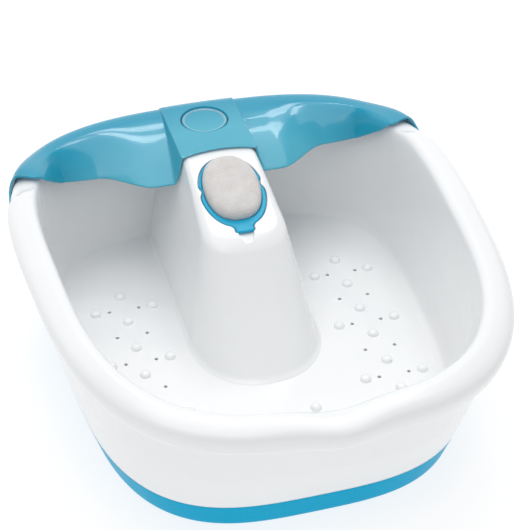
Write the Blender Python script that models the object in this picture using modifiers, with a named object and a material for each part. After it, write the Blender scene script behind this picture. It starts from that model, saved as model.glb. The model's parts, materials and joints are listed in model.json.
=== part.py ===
"""Foot spa basin: a white tub with two foot wells and a console between them, a white outer
body and a teal base pan, a translucent splash guard over the rear rim with a toe button, a
lift-out pumice stone, and the air blower, heater and switch inside.

Metres, +Z up, +Y to the rear, where the toes go. The origin is on the surface that the basin
stands on, midway between the pouring spout and the rear rim.
"""

import math

import bmesh
import bpy
from mathutils import Vector

# ---- Driving dimensions -------------------------------------------------------------------

GAP = 0.0003
STEPS = 64  # points round each ring of the tub, the outer body and the base pan

# The rim's widest ring: half sizes about CENTRE_Y, and how much wider it gets to the rear.
CENTRE_Y = 0.002
RIM_SIDE = 0.1725
RIM_END = 0.205
RIM_Z = 0.131
RIM_TAPER = 0.10
RIM_POWER = (3.03, 2.94)  # superellipse powers of the front and the rear half
RIM_INNER_POWER = 3.40  # the rear corners are squarer at the inner wall
INNER_START, INNER_INSET = 0.011, 0.024
APEX_Z = 0.1389
APEX_INSET = 0.0165

WALL = 0.0025
FLOOR_Z = 0.0275
UNDER_FLOOR_Z = 0.025

# Pouring spout: the front of the rim bulges out and dips by these at its centre.
SPOUT_OUT = 0.0069
SPOUT_DIP = 0.003
SPOUT_HALF_WIDTH = 0.024

# The outer body and the base pan share one outer wall, read at these heights.
# height, half width, front, rear, taper, front power, rear power
WALL_LEVELS = (
    (0.0015, 0.1415, 0.151, 0.181, 0.13, 3.20, 3.40),
    (0.0275, 0.1495, 0.159, 0.189, 0.13, 3.20, 3.40),
    (0.0700, 0.1565, 0.178, 0.193, 0.12, 3.12, 3.25),
    (0.1235, 0.1638, 0.197, 0.196, 0.10, 3.03, 2.96),
)
SHELL = 0.0023
BAND_TOP = 0.0275
BODY_TOP = 0.1235
PAN_BOTTOM = 0.0015
PAN_FLOOR = 0.004

# Console: a drafted hump with a flat deck, a sloping face and a blunt nose.
CONSOLE_TOP = 0.135
CONSOLE_HALF_TOP = 0.0290
CONSOLE_DRAFT = 0.20  # sideways per unit of height
CONSOLE_REAR = 0.202  # of the deck, which runs back over the rim
CONSOLE_HOLLOW_REAR = 0.188
TUB_REAR = 0.183
FACE_TOP_Y = 0.120
FACE_FOOT_Y = 0.038
FACE_FOOT_Z = 0.114
FACE_TILT = math.atan2(CONSOLE_TOP - FACE_FOOT_Z, FACE_TOP_Y - FACE_FOOT_Y)
NOSE_FOOT_Y = -0.033
NOSE_TOP_Y = 0.0500

# Splash guard: a shell over the rear rim, with a flap that slopes down into the basin.
GUARD_THICK = 0.0018
GUARD_PROUD = 0.0006
GUARD_COVER = 0.0021  # how far the rim draws back under the guard
RIM_SUNK = 0.0039  # and how far its apex sinks
GUARD_CREST = 0.1346
GUARD_FLAP_Z = 0.1135
PLATEAU_Z = 0.1376
PLATEAU_HALF = 0.0311
PLATEAU_CROWN = 0.0006

# Toe button, in a round well in the console's deck.
BUTTON_Y = 0.174
BUTTON_RADIUS = 0.0187
BUTTON_HOLE = 0.0193
WELL_FLOOR = 0.1295
WELL_RADIUS = 0.0203
WELL_BOSS_BOTTOM = 0.1258
PLUNGER_RADIUS = 0.003

# Pumice stone in its holder, on the console's face.
HOLDER_Y = 0.082
HOLDER_HALF_WIDTH = 0.0256
HOLDER_HALF_LENGTH = 0.036
HOLDER_UP = 0.002  # its lobes' centre above the face frame's origin
HOLDER_THICK = 0.003
RECESS_DEPTH = 0.0036
STONE_HALF_WIDTH = 0.0218
STONE_HALF_LENGTH = 0.0308
STONE_UP = 0.0040
TAB_END = 0.0393

# Blower, upright in the console.
BLOWER_Y = 0.110
BLOWER_RADIUS = 0.034
DUCT_Z = 0.0185
SHAFT_RADIUS = 0.0015

# Air channels under the floor of each well.
CHANNEL_X = 0.092
CHANNEL_WIDTH = 0.052
CHANNEL_FRONT = -0.098
CHANNEL_REAR = 0.093
MANIFOLD_Y = (0.030, 0.052)

SCREW_SPOTS = ((0.088, -0.118), (0.124, -0.030), (0.118, 0.110))
FOOT_SPOTS = (("front", 0.070, -0.125), ("rear", 0.110, 0.148))
FOOT_RADIUS = 0.009
GLAND_X = 0.060
GLAND_Z = 0.014
GLAND_FACE_Y = 0.1905  # outer face of the flat boss that the cord gland sits in
GLAND_BOSS = 0.0105  # its thickness

# ---- Scene, collections and materials -----------------------------------------------------


def clear_scene():
    for old in list(bpy.data.objects):
        bpy.data.objects.remove(old, do_unlink=True)


def new_collection(name):
    made = bpy.data.collections.new(name)
    bpy.context.scene.collection.children.link(made)
    return made


def new_material(name, colour, roughness, metallic=0.0, alpha=1.0):
    made = bpy.data.materials.new(name)
    made.use_nodes = True
    shader = made.node_tree.nodes["Principled BSDF"]
    shader.inputs["Base Color"].default_value = (*colour, 1.0)
    shader.inputs["Roughness"].default_value = roughness
    shader.inputs["Metallic"].default_value = metallic
    shader.inputs["Alpha"].default_value = alpha
    return made


clear_scene()
PARTS = new_collection("foot_spa_basin")
CUTTERS = new_collection("cutters")

WHITE = new_material("white_gloss", (0.88, 0.88, 0.87), 0.25)
TEAL = new_material("teal_gloss", (0.0, 0.38, 0.62), 0.3)
CLEAR_TEAL = new_material("clear_teal", (0.05, 0.45, 0.58), 0.08, alpha=0.6)
STONE = new_material("pumice", (0.72, 0.68, 0.65), 0.95)
BLACK = new_material("black_plastic", (0.03, 0.03, 0.032), 0.5)
GREY = new_material("grey_plastic", (0.35, 0.36, 0.37), 0.5)
RUBBER = new_material("rubber", (0.05, 0.05, 0.05), 0.85)
STEEL = new_material("steel", (0.6, 0.6, 0.6), 0.35, metallic=1.0)
BRASS = new_material("brass", (0.7, 0.5, 0.2), 0.35, metallic=1.0)
ALUMINIUM = new_material("aluminium", (0.75, 0.76, 0.77), 0.4, metallic=1.0)
BOARD = new_material("circuit_board", (0.02, 0.22, 0.09), 0.5)

# ---- Objects ------------------------------------------------------------------------------


def add_object(name, mesh, material, smooth=True):
    """A part, or a cutter if it has no material."""
    made = bpy.data.objects.new(name, mesh)
    if material is None:
        CUTTERS.objects.link(made)
        made.hide_render = True
        made.display_type = "WIRE"
        return made
    PARTS.objects.link(made)
    mesh.materials.append(material)
    if smooth:
        mesh.shade_smooth()
        mesh.set_sharp_from_angle(angle=math.radians(35))
    return made


def mesh_from(name, bm):
    mesh = bpy.data.meshes.new(name)
    bmesh.ops.recalc_face_normals(bm, faces=bm.faces)
    bm.to_mesh(mesh)
    bm.free()
    return mesh


def loft(name, rings, material, closed_loop=False):
    """Bridges rings of equal count. The ends are capped, or joined to each other."""
    bm = bmesh.new()
    rows = [[bm.verts.new(point) for point in ring] for ring in rings]
    pairs = list(zip(rows, rows[1:]))
    if closed_loop:
        pairs.append((rows[-1], rows[0]))
    else:
        bm.faces.new(rows[0])
        bm.faces.new(rows[-1])
    for lower, upper in pairs:
        for i in range(len(lower)):
            j = (i + 1) % len(lower)
            bm.faces.new((lower[i], lower[j], upper[j], upper[i]))
    return add_object(name, mesh_from(name, bm), material)


def box(name, size, centre, material, parent=None):
    bm = bmesh.new()
    bmesh.ops.create_cube(bm, size=1.0)
    bmesh.ops.scale(bm, vec=size, verts=bm.verts)
    made = add_object(name, mesh_from(name, bm), material, smooth=False)
    made.location = centre
    made.parent = parent
    return made


def boxes(name, places):
    """One cutter of several separate boxes, each given as its size and centre."""
    bm = bmesh.new()
    for size, centre in places:
        cube = bmesh.ops.create_cube(bm, size=1.0)["verts"]
        bmesh.ops.scale(bm, vec=size, verts=cube)
        bmesh.ops.translate(bm, vec=centre, verts=cube)
    return add_object(name, mesh_from(name, bm), None)


def posts(name, radius, low, high, spots, material=None, sides=12, top_radius=None):
    """Upright cylinders or cone frustums of one size, all in one mesh, standing at spots."""
    bm = bmesh.new()
    for x, y in spots:
        cone = bmesh.ops.create_cone(
            bm,
            cap_ends=True,
            segments=sides,
            radius1=radius,
            radius2=radius if top_radius is None else top_radius,
            depth=high - low,
        )["verts"]
        bmesh.ops.translate(bm, vec=(x, y, (low + high) / 2), verts=cone)
    return add_object(name, mesh_from(name, bm), material)


def turned(name, profile, material, location=(0.0, 0.0, 0.0), steps=24):
    """Turns a profile of (radius, height) points about the object's own Z axis.

    The profile runs down its outer side. It starts and ends on the axis, or it is closed.
    """
    mesh = bpy.data.meshes.new(name)
    points = [(radius, 0.0, height) for radius, height in profile]
    edges = [(i, i + 1) for i in range(len(points) - 1)]
    if profile[0][0] > 0.0:
        edges.append((len(points) - 1, 0))
    mesh.from_pydata(points, edges, [])
    made = add_object(name, mesh, material)
    made.location = location
    screw = made.modifiers.new("turn", "SCREW")
    screw.axis = "Z"
    screw.steps = steps
    screw.render_steps = steps
    screw.use_merge_vertices = True
    screw.merge_threshold = 0.00001
    screw.use_smooth_shade = True
    return made


def ring_profile(outer, inner, low, high):
    """The four corners of a plain ring's section, down its outer side."""
    return ((outer, high), (outer, low), (inner, low), (inner, high))


def combine(target, other, operation="DIFFERENCE"):
    cut = target.modifiers.new(operation.lower(), "BOOLEAN")
    cut.operation = operation
    cut.object = other
    cut.solver = "EXACT"


def bevel(target, width, segments=2, angle=35):
    rounded = target.modifiers.new("bevel", "BEVEL")
    rounded.width = width
    rounded.segments = segments
    rounded.limit_method = "ANGLE"
    rounded.angle_limit = math.radians(angle)


def smooth_path(knots, per_span):
    """Points along a Catmull-Rom curve through the knots."""
    knots = [Vector(knot) for knot in knots]
    padded = [knots[0] * 2 - knots[1], *knots, knots[-1] * 2 - knots[-2]]
    points = []
    for a, b, c, d in zip(padded, padded[1:], padded[2:], padded[3:]):
        for step in range(per_span):
            t = step / per_span
            point = 2 * b + (c - a) * t
            point += (2 * a - 5 * b + 4 * c - d) * t**2
            point += (3 * b - 3 * c + d - a) * t**3
            points.append(point / 2)
    points.append(knots[-1])
    return points


def wire(name, points, radius, material):
    curve = bpy.data.curves.new(name, "CURVE")
    curve.dimensions = "3D"
    curve.bevel_depth = radius
    curve.bevel_resolution = 1
    curve.use_fill_caps = True
    spline = curve.splines.new("POLY")
    spline.points.add(len(points) - 1)
    for target, point in zip(spline.points, points):
        target.co = (*point, 1.0)
    curve.materials.append(material)
    made = bpy.data.objects.new(name, curve)
    PARTS.objects.link(made)
    return made


# ---- Outlines shared by the tub, the body, the pan and the guard ---------------------------


def smoothstep(low, high, value):
    t = min(max((value - low) / (high - low), 0.0), 1.0)
    return t * t * (3 - 2 * t)


def mix(a, b, t):
    return a + (b - a) * t


def outline_point(angle, side, front, rear, powers, taper):
    """One point of a superellipse whose front and rear halves differ, wider to the rear."""
    across, along = math.cos(angle), math.sin(angle)
    end, power = (rear, powers[1]) if along > 0 else (front, powers[0])
    radius = (abs(across / side) ** power + abs(along / end) ** power) ** (-1 / power)
    y = radius * along
    return radius * across * (1 + taper * y / RIM_END), y + CENTRE_Y


def angles(count=STEPS):
    return [math.tau * (i + 0.5) / count for i in range(count)]


def rim_point(angle, inset):
    power = mix(RIM_POWER[1], RIM_INNER_POWER, smoothstep(INNER_START, INNER_INSET, inset))
    end = RIM_END - inset
    return outline_point(angle, RIM_SIDE - inset, end, end, (RIM_POWER[0], power), RIM_TAPER)


def plain_ring(z, side, front, rear, powers, taper):
    return [(*outline_point(a, side, front, rear, powers, taper), z) for a in angles()]


def wall_size(z, inset):
    """The outer wall's half sizes, powers and taper at a height, drawn in by inset."""
    level = min(sum(z > height for height, *_ in WALL_LEVELS[1:]), len(WALL_LEVELS) - 2)
    low, high = WALL_LEVELS[level], WALL_LEVELS[level + 1]
    t = (z - low[0]) / (high[0] - low[0])
    side, front, rear, taper, *powers = (mix(a, b, t) for a, b in zip(low[1:], high[1:]))
    return side - inset, front - inset, rear - inset, powers, taper


def wall_ring(z, inset):
    return plain_ring(z, *wall_size(z, inset))


# ---- Tub ----------------------------------------------------------------------------------

# The rim's section, from the lip's lower edge over the apex to the inner wall: inset, height,
# share of the spout, where along y it starts to draw back under the guard, and then the inset
# and height that it has under the guard at the rear.
RIM_SECTION = (
    (0.0052, 0.1204, 0.70, 0.073, 0.0068, 0.1204),
    (0.0026, 0.1200, 0.70, 0.073, 0.0042, 0.1200),
    (0.0006, 0.1250, 0.75, 0.086, 0.0029, 0.1245),
    (0.0000, 0.1310, 0.80, 0.098, 0.0026, 0.1285),
    (0.0014, 0.1345, 0.90, 0.105, 0.0036, 0.1303),
    (0.0052, 0.1372, 1.00, 0.109, 0.0052, 0.1313),
    (0.0110, 0.1386, 1.00, 0.112, 0.0082, 0.1318),
    (0.0165, 0.1389, 1.00, 0.112, 0.0110, 0.1316),
    (0.0205, 0.1376, 0.90, 0.115, 0.0134, 0.1303),
    (0.0228, 0.1350, 0.60, 0.118, 0.0150, 0.1278),
    (0.0240, 0.1290, 0.30, 0.122, 0.0160, 0.1210),
)
# The hidden side of the same section, from the wall up and out to the lip.
RIM_UNDERSIDE = (
    (0.0214, 0.1290, 0.30, 0.122, 0.0134, 0.1210),
    (0.0198, 0.1338, 0.60, 0.118, 0.0122, 0.1262),
    (0.0110, 0.1360, 1.00, 0.112, 0.0084, 0.1294),
    (0.0056, 0.1336, 0.90, 0.105, 0.0064, 0.1284),
    (0.0032, 0.1300, 0.80, 0.098, 0.0046, 0.1262),
)
# The basin's inner wall below that: height, half width, front, rear.
INNER_WALL = (
    (0.0900, 0.1465, 0.1700, 0.1805),
    (0.0535, 0.1445, 0.1600, 0.1790),
    (0.0360, 0.1415, 0.1530, 0.1770),
    (0.0300, 0.1380, 0.1490, 0.1735),
    (FLOOR_Z, 0.1310, 0.1420, 0.1670),
)
INNER_POWER = (3.05, 3.5)


def spout(x, y):
    return math.exp(-((x / SPOUT_HALF_WIDTH) ** 2)) if y < 0 else 0.0


def rim_ring(inset, z, spout_share, cover_from, rear_inset, rear_z):
    """A ring of the rim, drawn back under the guard and lower at the rear."""
    ring = []
    for angle in angles():
        y = rim_point(angle, inset)[1]
        covered = smoothstep(cover_from - 0.005, cover_from + 0.003, y)
        to_rear = smoothstep(0.124, 0.164, y)
        drawn = inset + GUARD_COVER * covered * (1 - inset / APEX_INSET)
        sunk = RIM_SUNK * covered * min(max((z - RIM_Z) / (APEX_Z - RIM_Z), 0.0), 1.0)
        x, y = rim_point(angle, mix(drawn, rear_inset, to_rear))
        bulge = spout(x, y) * spout_share
        level = mix(z - sunk, rear_z, to_rear) - SPOUT_DIP * bulge
        ring.append((x, y - SPOUT_OUT * bulge, level))
    return ring


def make_tub():
    rim = [rim_ring(*station) for station in RIM_SECTION]
    inner = [plain_ring(*level, INNER_POWER, RIM_TAPER) for level in INNER_WALL]
    outer = [
        plain_ring(max(z - WALL, UNDER_FLOOR_Z), side + WALL, front + WALL, rear + WALL,
                   INNER_POWER, RIM_TAPER)
        for z, side, front, rear in reversed(INNER_WALL[:-1])
    ]
    bottom = plain_ring(UNDER_FLOOR_Z, *INNER_WALL[-1][1:], INNER_POWER, RIM_TAPER)
    under_rim = [rim_ring(*station) for station in RIM_UNDERSIDE]
    rings = [bottom, *outer, *under_rim, *rim, *inner]
    tub = loft("basin_tub", rings, WHITE)
    combine(tub, make_console("console_form", 0.0, CONSOLE_TOP), "UNION")
    combine(tub, make_console("console_hollow", WALL, CONSOLE_TOP - WALL))
    combine(tub, make_button_boss(), "UNION")
    combine(tub, make_face_pad(), "UNION")
    combine(tub, make_screw_bosses(), "UNION")
    combine(tub, make_massage_nodes(), "UNION")
    combine(tub, posts("button_well", WELL_RADIUS, WELL_FLOOR, 0.150, [(0, BUTTON_Y)], sides=32))
    combine(tub, posts("plunger_hole", 0.0036, 0.120, 0.131, [(0, BUTTON_Y)]))
    combine(tub, make_holder_recess())
    combine(tub, make_finger_notch())
    combine(tub, posts("pilot_holes", 0.0019, 0.005, 0.021, mirrored(SCREW_SPOTS), sides=10))
    combine(tub, posts("bubble_holes", 0.0013, 0.020, 0.035, bubble_spots(), sides=5))


def mirrored(spots):
    return [(side * x, y) for x, y in spots for side in (-1, 1)]


def console_ring(z, inset):
    """The console's plan outline at a height: straight flanks, a blunt nose, a flat rear."""
    rise = (z - FLOOR_Z) / (CONSOLE_TOP - FLOOR_Z)
    half = CONSOLE_HALF_TOP + CONSOLE_DRAFT * (CONSOLE_TOP - z) - inset
    front = mix(NOSE_FOOT_Y, NOSE_TOP_Y, rise) + inset * 1.25
    length = mix(0.062, 0.016, rise)
    power = mix(2.3, 3.4, rise)
    if inset:
        rear = CONSOLE_HOLLOW_REAR
    else:
        rear = mix(TUB_REAR, CONSOLE_REAR, smoothstep(0.124, 0.129, z))
    ring = [(-half, rear, z)]
    nose_steps = 20
    for step in range(nose_steps + 1):
        turn = math.pi * step / nose_steps
        x = -half * math.copysign(abs(math.cos(turn)) ** (2 / power), math.cos(turn))
        y = front + length * (1 - math.sin(turn) ** (2 / power))
        ring.append((x, y, z))
    ring.append((half, rear, z))
    return ring


def make_console(name, inset, top):
    """The console's outer form, or its hollow, which opens through the basin's floor."""
    low = 0.0262 if inset == 0.0 else 0.010
    heights = (low, 0.045, 0.080, 0.110, 0.124, 0.129, top + 0.010)
    form = loft(name, [console_ring(z, inset) for z in heights], None)
    combine(form, make_face_cutter(name + "_face", inset, top))
    if inset == 0.0:
        bevel(form, 0.004, segments=2, angle=40)
    return form


def make_face_cutter(name, inset, top):
    """What lies above the deck and above the sloping face, drawn down by inset."""
    drop = inset / math.cos(FACE_TILT)
    foot_y = FACE_FOOT_Y - 0.100
    foot_z = FACE_FOOT_Z - 0.100 * math.tan(FACE_TILT) - drop
    bend_y = FACE_TOP_Y + (top - CONSOLE_TOP + drop) / math.tan(FACE_TILT)
    section = ((foot_y, foot_z), (bend_y, top), (0.230, top), (0.230, 0.200), (foot_y, 0.200))
    rings = [[(x, y, z) for y, z in section] for x in (-0.090, 0.090)]
    return loft(name, rings, None)


def make_button_boss():
    """Thick material in the deck for the toe button's well."""
    return posts("button_boss", 0.0232, WELL_BOSS_BOTTOM, 0.1342, [(0, BUTTON_Y)], sides=32)


def make_screw_bosses():
    return posts("screw_bosses", 0.0045, 0.0096, 0.0262, mirrored(SCREW_SPOTS), sides=12)


def bubble_spots():
    rows = [-0.083 + 0.033 * step for step in range(6)]
    return mirrored([(x, y) for x in (0.080, 0.104) for y in rows])


def make_massage_nodes():
    spots = [(0.092, -0.066 + 0.033 * step) for step in range(6)]
    spots += [(0.069 + 0.046 * side, -0.050 + 0.066 * step) for side in (0, 1) for step in range(3)]
    spots += [(0.023, -0.100), (0.023, -0.070), (0.058, -0.118)]
    return posts("massage_nodes", 0.0045, 0.0268, 0.0310, mirrored(spots), sides=6,
                 top_radius=0.0022)


# ---- The console's face: pumice stone, its holder and the finger notch ---------------------


def make_face_frame():
    """An empty on the face, its Z along the face's normal and its Y up the slope."""
    frame = bpy.data.objects.new("face_frame", None)
    PARTS.objects.link(frame)
    rise = (HOLDER_Y - FACE_FOOT_Y) * math.tan(FACE_TILT)
    frame.location = (0.0, HOLDER_Y, FACE_FOOT_Z + rise)
    frame.rotation_euler = (FACE_TILT, 0.0, 0.0)
    return frame


def holder_outline(grow):
    """Two lobes with a waist between them, and a square tab at the lower end."""
    points = []
    tab_half = 0.0073 + grow
    start = -math.radians(72)
    turns = 40
    for step in range(turns + 1):
        turn = start + (math.tau - math.radians(36)) * step / turns
        waist = 0.0024 * math.exp(-((math.sin(turn) - 0.10) / 0.11) ** 2)
        half = HOLDER_HALF_WIDTH + grow - waist
        x = half * math.copysign(abs(math.cos(turn)) ** 0.86, math.cos(turn))
        y = (HOLDER_HALF_LENGTH + grow) * math.sin(turn) + HOLDER_UP
        points.append((x, y))
    tab_end = -TAB_END - grow
    points += [(-tab_half, -0.0350), (-tab_half, tab_end), (tab_half, tab_end), (tab_half, -0.0350)]
    return points


def slab(name, outline, low, high, material):
    rings = [[(x, y, z) for x, y in outline] for z in (low, high)]
    made = loft(name, rings, material)
    made.parent = FACE_FRAME
    return made


def stone_ring(z, shrink):
    ring = []
    for step in range(36):
        turn = math.tau * step / 36
        x = (STONE_HALF_WIDTH - shrink) * math.copysign(abs(math.cos(turn)) ** 0.86, math.cos(turn))
        y = (STONE_HALF_LENGTH - shrink) * math.copysign(abs(math.sin(turn)) ** 0.86, math.sin(turn))
        ring.append((x, y + STONE_UP, z))
    return ring


def make_holder_recess():
    return slab("holder_recess", holder_outline(0.0006), -RECESS_DEPTH, 0.012, None)


def make_face_pad():
    """Thick material behind the face and the nose, for the recess and the notch."""
    section = ((-0.0455, -0.0020), (-0.0535, -0.0082), (0.0425, -0.0082), (0.0425, -0.0020))
    pad = loft("face_pad", [[(x, y, z) for y, z in section] for x in (-0.028, 0.028)], None)
    pad.parent = FACE_FRAME
    return pad


def make_finger_notch():
    """A scoop whose floor slopes down to end under the holder's tab."""
    low = ((-0.0032, -0.0520, -0.0012), (0.0032, -0.0520, -0.0012),
           (0.0078, -0.0340, -0.0048), (-0.0078, -0.0340, -0.0048))
    scoop = loft("finger_notch", [low, [(x, y, 0.012) for x, y, _ in low]], None)
    scoop.parent = FACE_FRAME
    return scoop


def make_pumice():
    holder = slab("pumice_holder", holder_outline(0.0), GAP - RECESS_DEPTH,
                  GAP - RECESS_DEPTH + HOLDER_THICK, TEAL)
    pocket_floor = -0.0018
    rings = [stone_ring(z, -0.0005) for z in (pocket_floor, 0.010)]
    pocket = loft("stone_pocket", rings, None)
    pocket.parent = FACE_FRAME
    combine(holder, pocket)
    section = ((pocket_floor + GAP, 0.0), (0.0045, 0.0002), (0.0068, 0.0016), (0.0084, 0.0046),
               (0.0092, 0.0100), (0.0095, 0.0170))
    stone = loft("pumice_stone", [stone_ring(z, shrink) for z, shrink in section], STONE)
    stone.parent = FACE_FRAME


# ---- Outer body and base pan ---------------------------------------------------------------


def make_outer_body():
    heights = (BAND_TOP + GAP, 0.050, 0.070, 0.097, BODY_TOP)
    rings = [wall_ring(z, 0.0) for z in heights]
    rings += [wall_ring(z, SHELL) for z in reversed(heights)]
    return loft("outer_body", rings, WHITE, closed_loop=True)


def make_base_pan():
    outside = [wall_ring(PAN_BOTTOM, 0.003), wall_ring(PAN_BOTTOM + 0.0008, 0.0010)]
    outside += [wall_ring(z, 0.0) for z in (PAN_BOTTOM + 0.003, BAND_TOP)]
    inside = [wall_ring(z, SHELL) for z in (BAND_TOP, PAN_FLOOR + 0.003)]
    inside.append(wall_ring(PAN_FLOOR, SHELL + 0.003))
    pan = loft("base_pan", [*outside, *inside], TEAL)
    combine(pan, posts("pan_bosses", 0.006, 0.0032, 0.0092, mirrored(SCREW_SPOTS)), "UNION")
    combine(pan, posts("board_posts", 0.003, 0.0032, 0.0090, mirrored([(0.022, 0.160)])), "UNION")
    boss_place = (GLAND_X, GLAND_FACE_Y - GLAND_BOSS / 2, GLAND_Z)
    combine(pan, box("gland_boss", (0.024, GLAND_BOSS, 0.0206), boss_place, None), "UNION")
    combine(pan, posts("counterbores", 0.0042, 0.0, 0.005, mirrored(SCREW_SPOTS)))
    combine(pan, posts("screw_holes", 0.0021, 0.0045, 0.012, mirrored(SCREW_SPOTS), sides=12))
    combine(pan, posts("foot_recesses", FOOT_RADIUS + GAP, 0.0, 0.0031, foot_places()))
    gland_hole = posts("gland_hole", 0.0058, -0.020, 0.020, [(0, 0)], sides=20)
    gland_hole.rotation_euler = (math.pi / 2, 0.0, 0.0)
    gland_hole.location = (GLAND_X, GLAND_FACE_Y, GLAND_Z)
    combine(pan, gland_hole)
    slots = [((0.003, 0.026, 0.010), (0.007 * i, BLOWER_Y, 0.002)) for i in range(-3, 4)]
    combine(pan, boxes("air_slots", slots))


def foot_places():
    return mirrored([(x, y) for _, x, y in FOOT_SPOTS])


def make_feet():
    profile = ((0.0, 0.0028), (FOOT_RADIUS, 0.0028), (FOOT_RADIUS, 0.0010), (0.0078, 0.0),
               (0.0, 0.0))
    for row, x, y in FOOT_SPOTS:
        for side, sign in (("left", -1), ("right", 1)):
            turned(f"foot_{row}_{side}", profile, RUBBER, (sign * x, y, 0.0), 20)


def make_base_screws():
    """Pan-head screws, up through the pan into the tub's bosses."""
    profile = ((0.0, 0.0190), (0.0016, 0.0178), (0.0016, 0.0047), (0.0037, 0.0047),
               (0.0037, 0.0028), (0.0030, 0.0022), (0.0, 0.0022))
    slot = boxes("screw_slots", [((0.005, 0.0009, 0.0022), (x, y, 0.0024))
                                 for x, y in mirrored(SCREW_SPOTS)])
    for number, (x, y) in enumerate(mirrored(SCREW_SPOTS), start=1):
        screw = turned(f"base_screw_{number}", profile, STEEL, (x, y, 0.0), 12)
        combine(screw, slot)


def make_cord_gland():
    """A rubber bush, grooved to hold in the pan's wall, open for the mains cord.

    Its own Z runs into the pan, from 0 at the outer face of the boss.
    """
    boss_in = GLAND_BOSS + GAP
    profile = ((0.0074, boss_in + 0.0022), (0.0074, boss_in), (0.0055, boss_in), (0.0055, -GAP),
               (0.0082, -GAP), (0.0066, -0.0028), (0.0034, -0.0028), (0.0036, boss_in + 0.0022))
    gland = turned("cord_gland", profile, RUBBER, (GLAND_X, GLAND_FACE_Y, GLAND_Z), 20)
    gland.rotation_euler = (math.pi / 2, 0.0, 0.0)


# ---- Splash guard --------------------------------------------------------------------------

# Angles from the rear, closer together where the console's flank and the corners are.
GUARD_ROWS = (0, 4, 6.9, 7.6, 8.0, 8.35, 8.72, 9.2, 9.9, 11.2, 13.3, 16, 19, 22, 25, 28, 31, 34,
              37, 40, 43, 46, 48.5, 50.3, 52, 53.6, 55, 57, 60.3)
# Inset and height of the guard's outer face over the rim, up to its crest.
GUARD_SECTION = (
    (0.0022, 0.1208),
    (0.0008, 0.1250),
    (0.0000, 0.1310),
    (0.0012, 0.1340),
    (0.0042, 0.1362),
)
FLAP_COLUMNS = 6
FLAP_INSET = 0.0290  # the flap stays at least this far inside the rim's widest ring


def flap_edge_y(x):
    """Where the guard's inner edge runs: hollow over the console, a lobe beside it, then back."""
    x = abs(x)
    if x < CONSOLE_HALF_TOP:
        return 0.129 - 0.005 * (x / CONSOLE_HALF_TOP) ** 2
    return 0.124 + 0.0245 * smoothstep(0.052, 0.096, x) + 0.05 * max(x - 0.100, 0)


def inside_wall(x, y):
    """Draws a point in towards the middle if it lies beyond the flap's widest ring."""
    side = (RIM_SIDE - FLAP_INSET) * (1 + RIM_TAPER * y / RIM_END)
    across, along = abs(x) / side, abs(y - CENTRE_Y) / (RIM_END - FLAP_INSET)
    beyond = (across**RIM_INNER_POWER + along**RIM_INNER_POWER) ** (1 / RIM_INNER_POWER)
    shrink = max(beyond, 1.0)
    return x / shrink, (y - CENTRE_Y) / shrink + CENTRE_Y


def plateau_z(x):
    """The saddle over the console: a crowned top with steep flanks."""
    crown = PLATEAU_CROWN * (min(abs(x), PLATEAU_HALF) / PLATEAU_HALF) ** 2
    flank = max(abs(x) - PLATEAU_HALF, 0.0) / CONSOLE_DRAFT
    return PLATEAU_Z - crown - flank


def smooth_max(a, b, width):
    near = max(width - abs(a - b), 0.0) / width
    return max(a, b) + near * near * width / 4


def guard_reach(y):
    """How far round the rim's section the guard reaches at its ends, from 0 to 1."""
    stops = ((0.095, 0.03), (0.118, 0.10), (0.127, 0.20), (0.134, 0.39), (0.139, 0.58),
             (0.146, 0.80), (0.156, 0.92), (0.166, 0.98), (0.174, 1.0))
    for low, high in zip(stops, stops[1:]):
        if y < high[0]:
            return mix(low[1], high[1], max(y - low[0], 0) / (high[0] - low[0]))
    return 1.0


def guard_section(angle):
    """The guard's full section at one angle, from its outer lower edge to its inner edge."""
    x0, y0 = rim_point(angle, 0.0)
    to_rear = smoothstep(0.140, 0.178, y0)
    crest_z = mix(APEX_Z + 0.0007, GUARD_CREST, to_rear)
    points = []
    for inset, z in GUARD_SECTION:
        x, y = rim_point(angle, inset - GUARD_PROUD)
        lift = (crest_z - 0.0004 - 0.1362) * smoothstep(0.131, 0.1362, z)
        z = z + lift
        if inset > 0.004:
            z = smooth_max(z, plateau_z(x), 0.002)
        points.append(Vector((x, y, z)))
    crest_x, crest_y = rim_point(angle, mix(APEX_INSET, 0.0120, to_rear))
    side_x, side_y = rim_point(angle, FLAP_INSET)
    far = max(abs(x0) - 0.060, 0.0)
    edge_x = math.copysign(min(abs(x0), 0.060) + 0.80 * far, x0)
    edge_x, edge_y = inside_wall(edge_x, flap_edge_y(edge_x))
    edge = Vector((mix(side_x, edge_x, to_rear), mix(side_y, edge_y, to_rear),
                   mix(0.1185, GUARD_FLAP_Z, to_rear)))
    start = Vector((crest_x, crest_y, crest_z))
    for step in range(FLAP_COLUMNS + 1):
        t = step / FLAP_COLUMNS
        across = mix(math.sin(t * math.pi / 2) ** 0.8, t, to_rear)
        down = mix(t**2.2, t**1.5, to_rear)
        x = mix(start.x, edge.x, across)
        y = mix(start.y, edge.y, across)
        z = mix(start.z, edge.z, down)
        points.append(Vector((x, y, smooth_max(z, plateau_z(x), mix(0.002, 0.012, t)))))
    return points, y0


def cut_section(points, reach):
    """The first part of a section, as the same number of points."""
    last = reach * (len(points) - 1)
    cut = []
    for i in range(len(points)):
        place = last * i / (len(points) - 1)
        whole = min(int(place), len(points) - 2)
        cut.append(points[whole].lerp(points[whole + 1], place - whole))
    return cut


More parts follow.
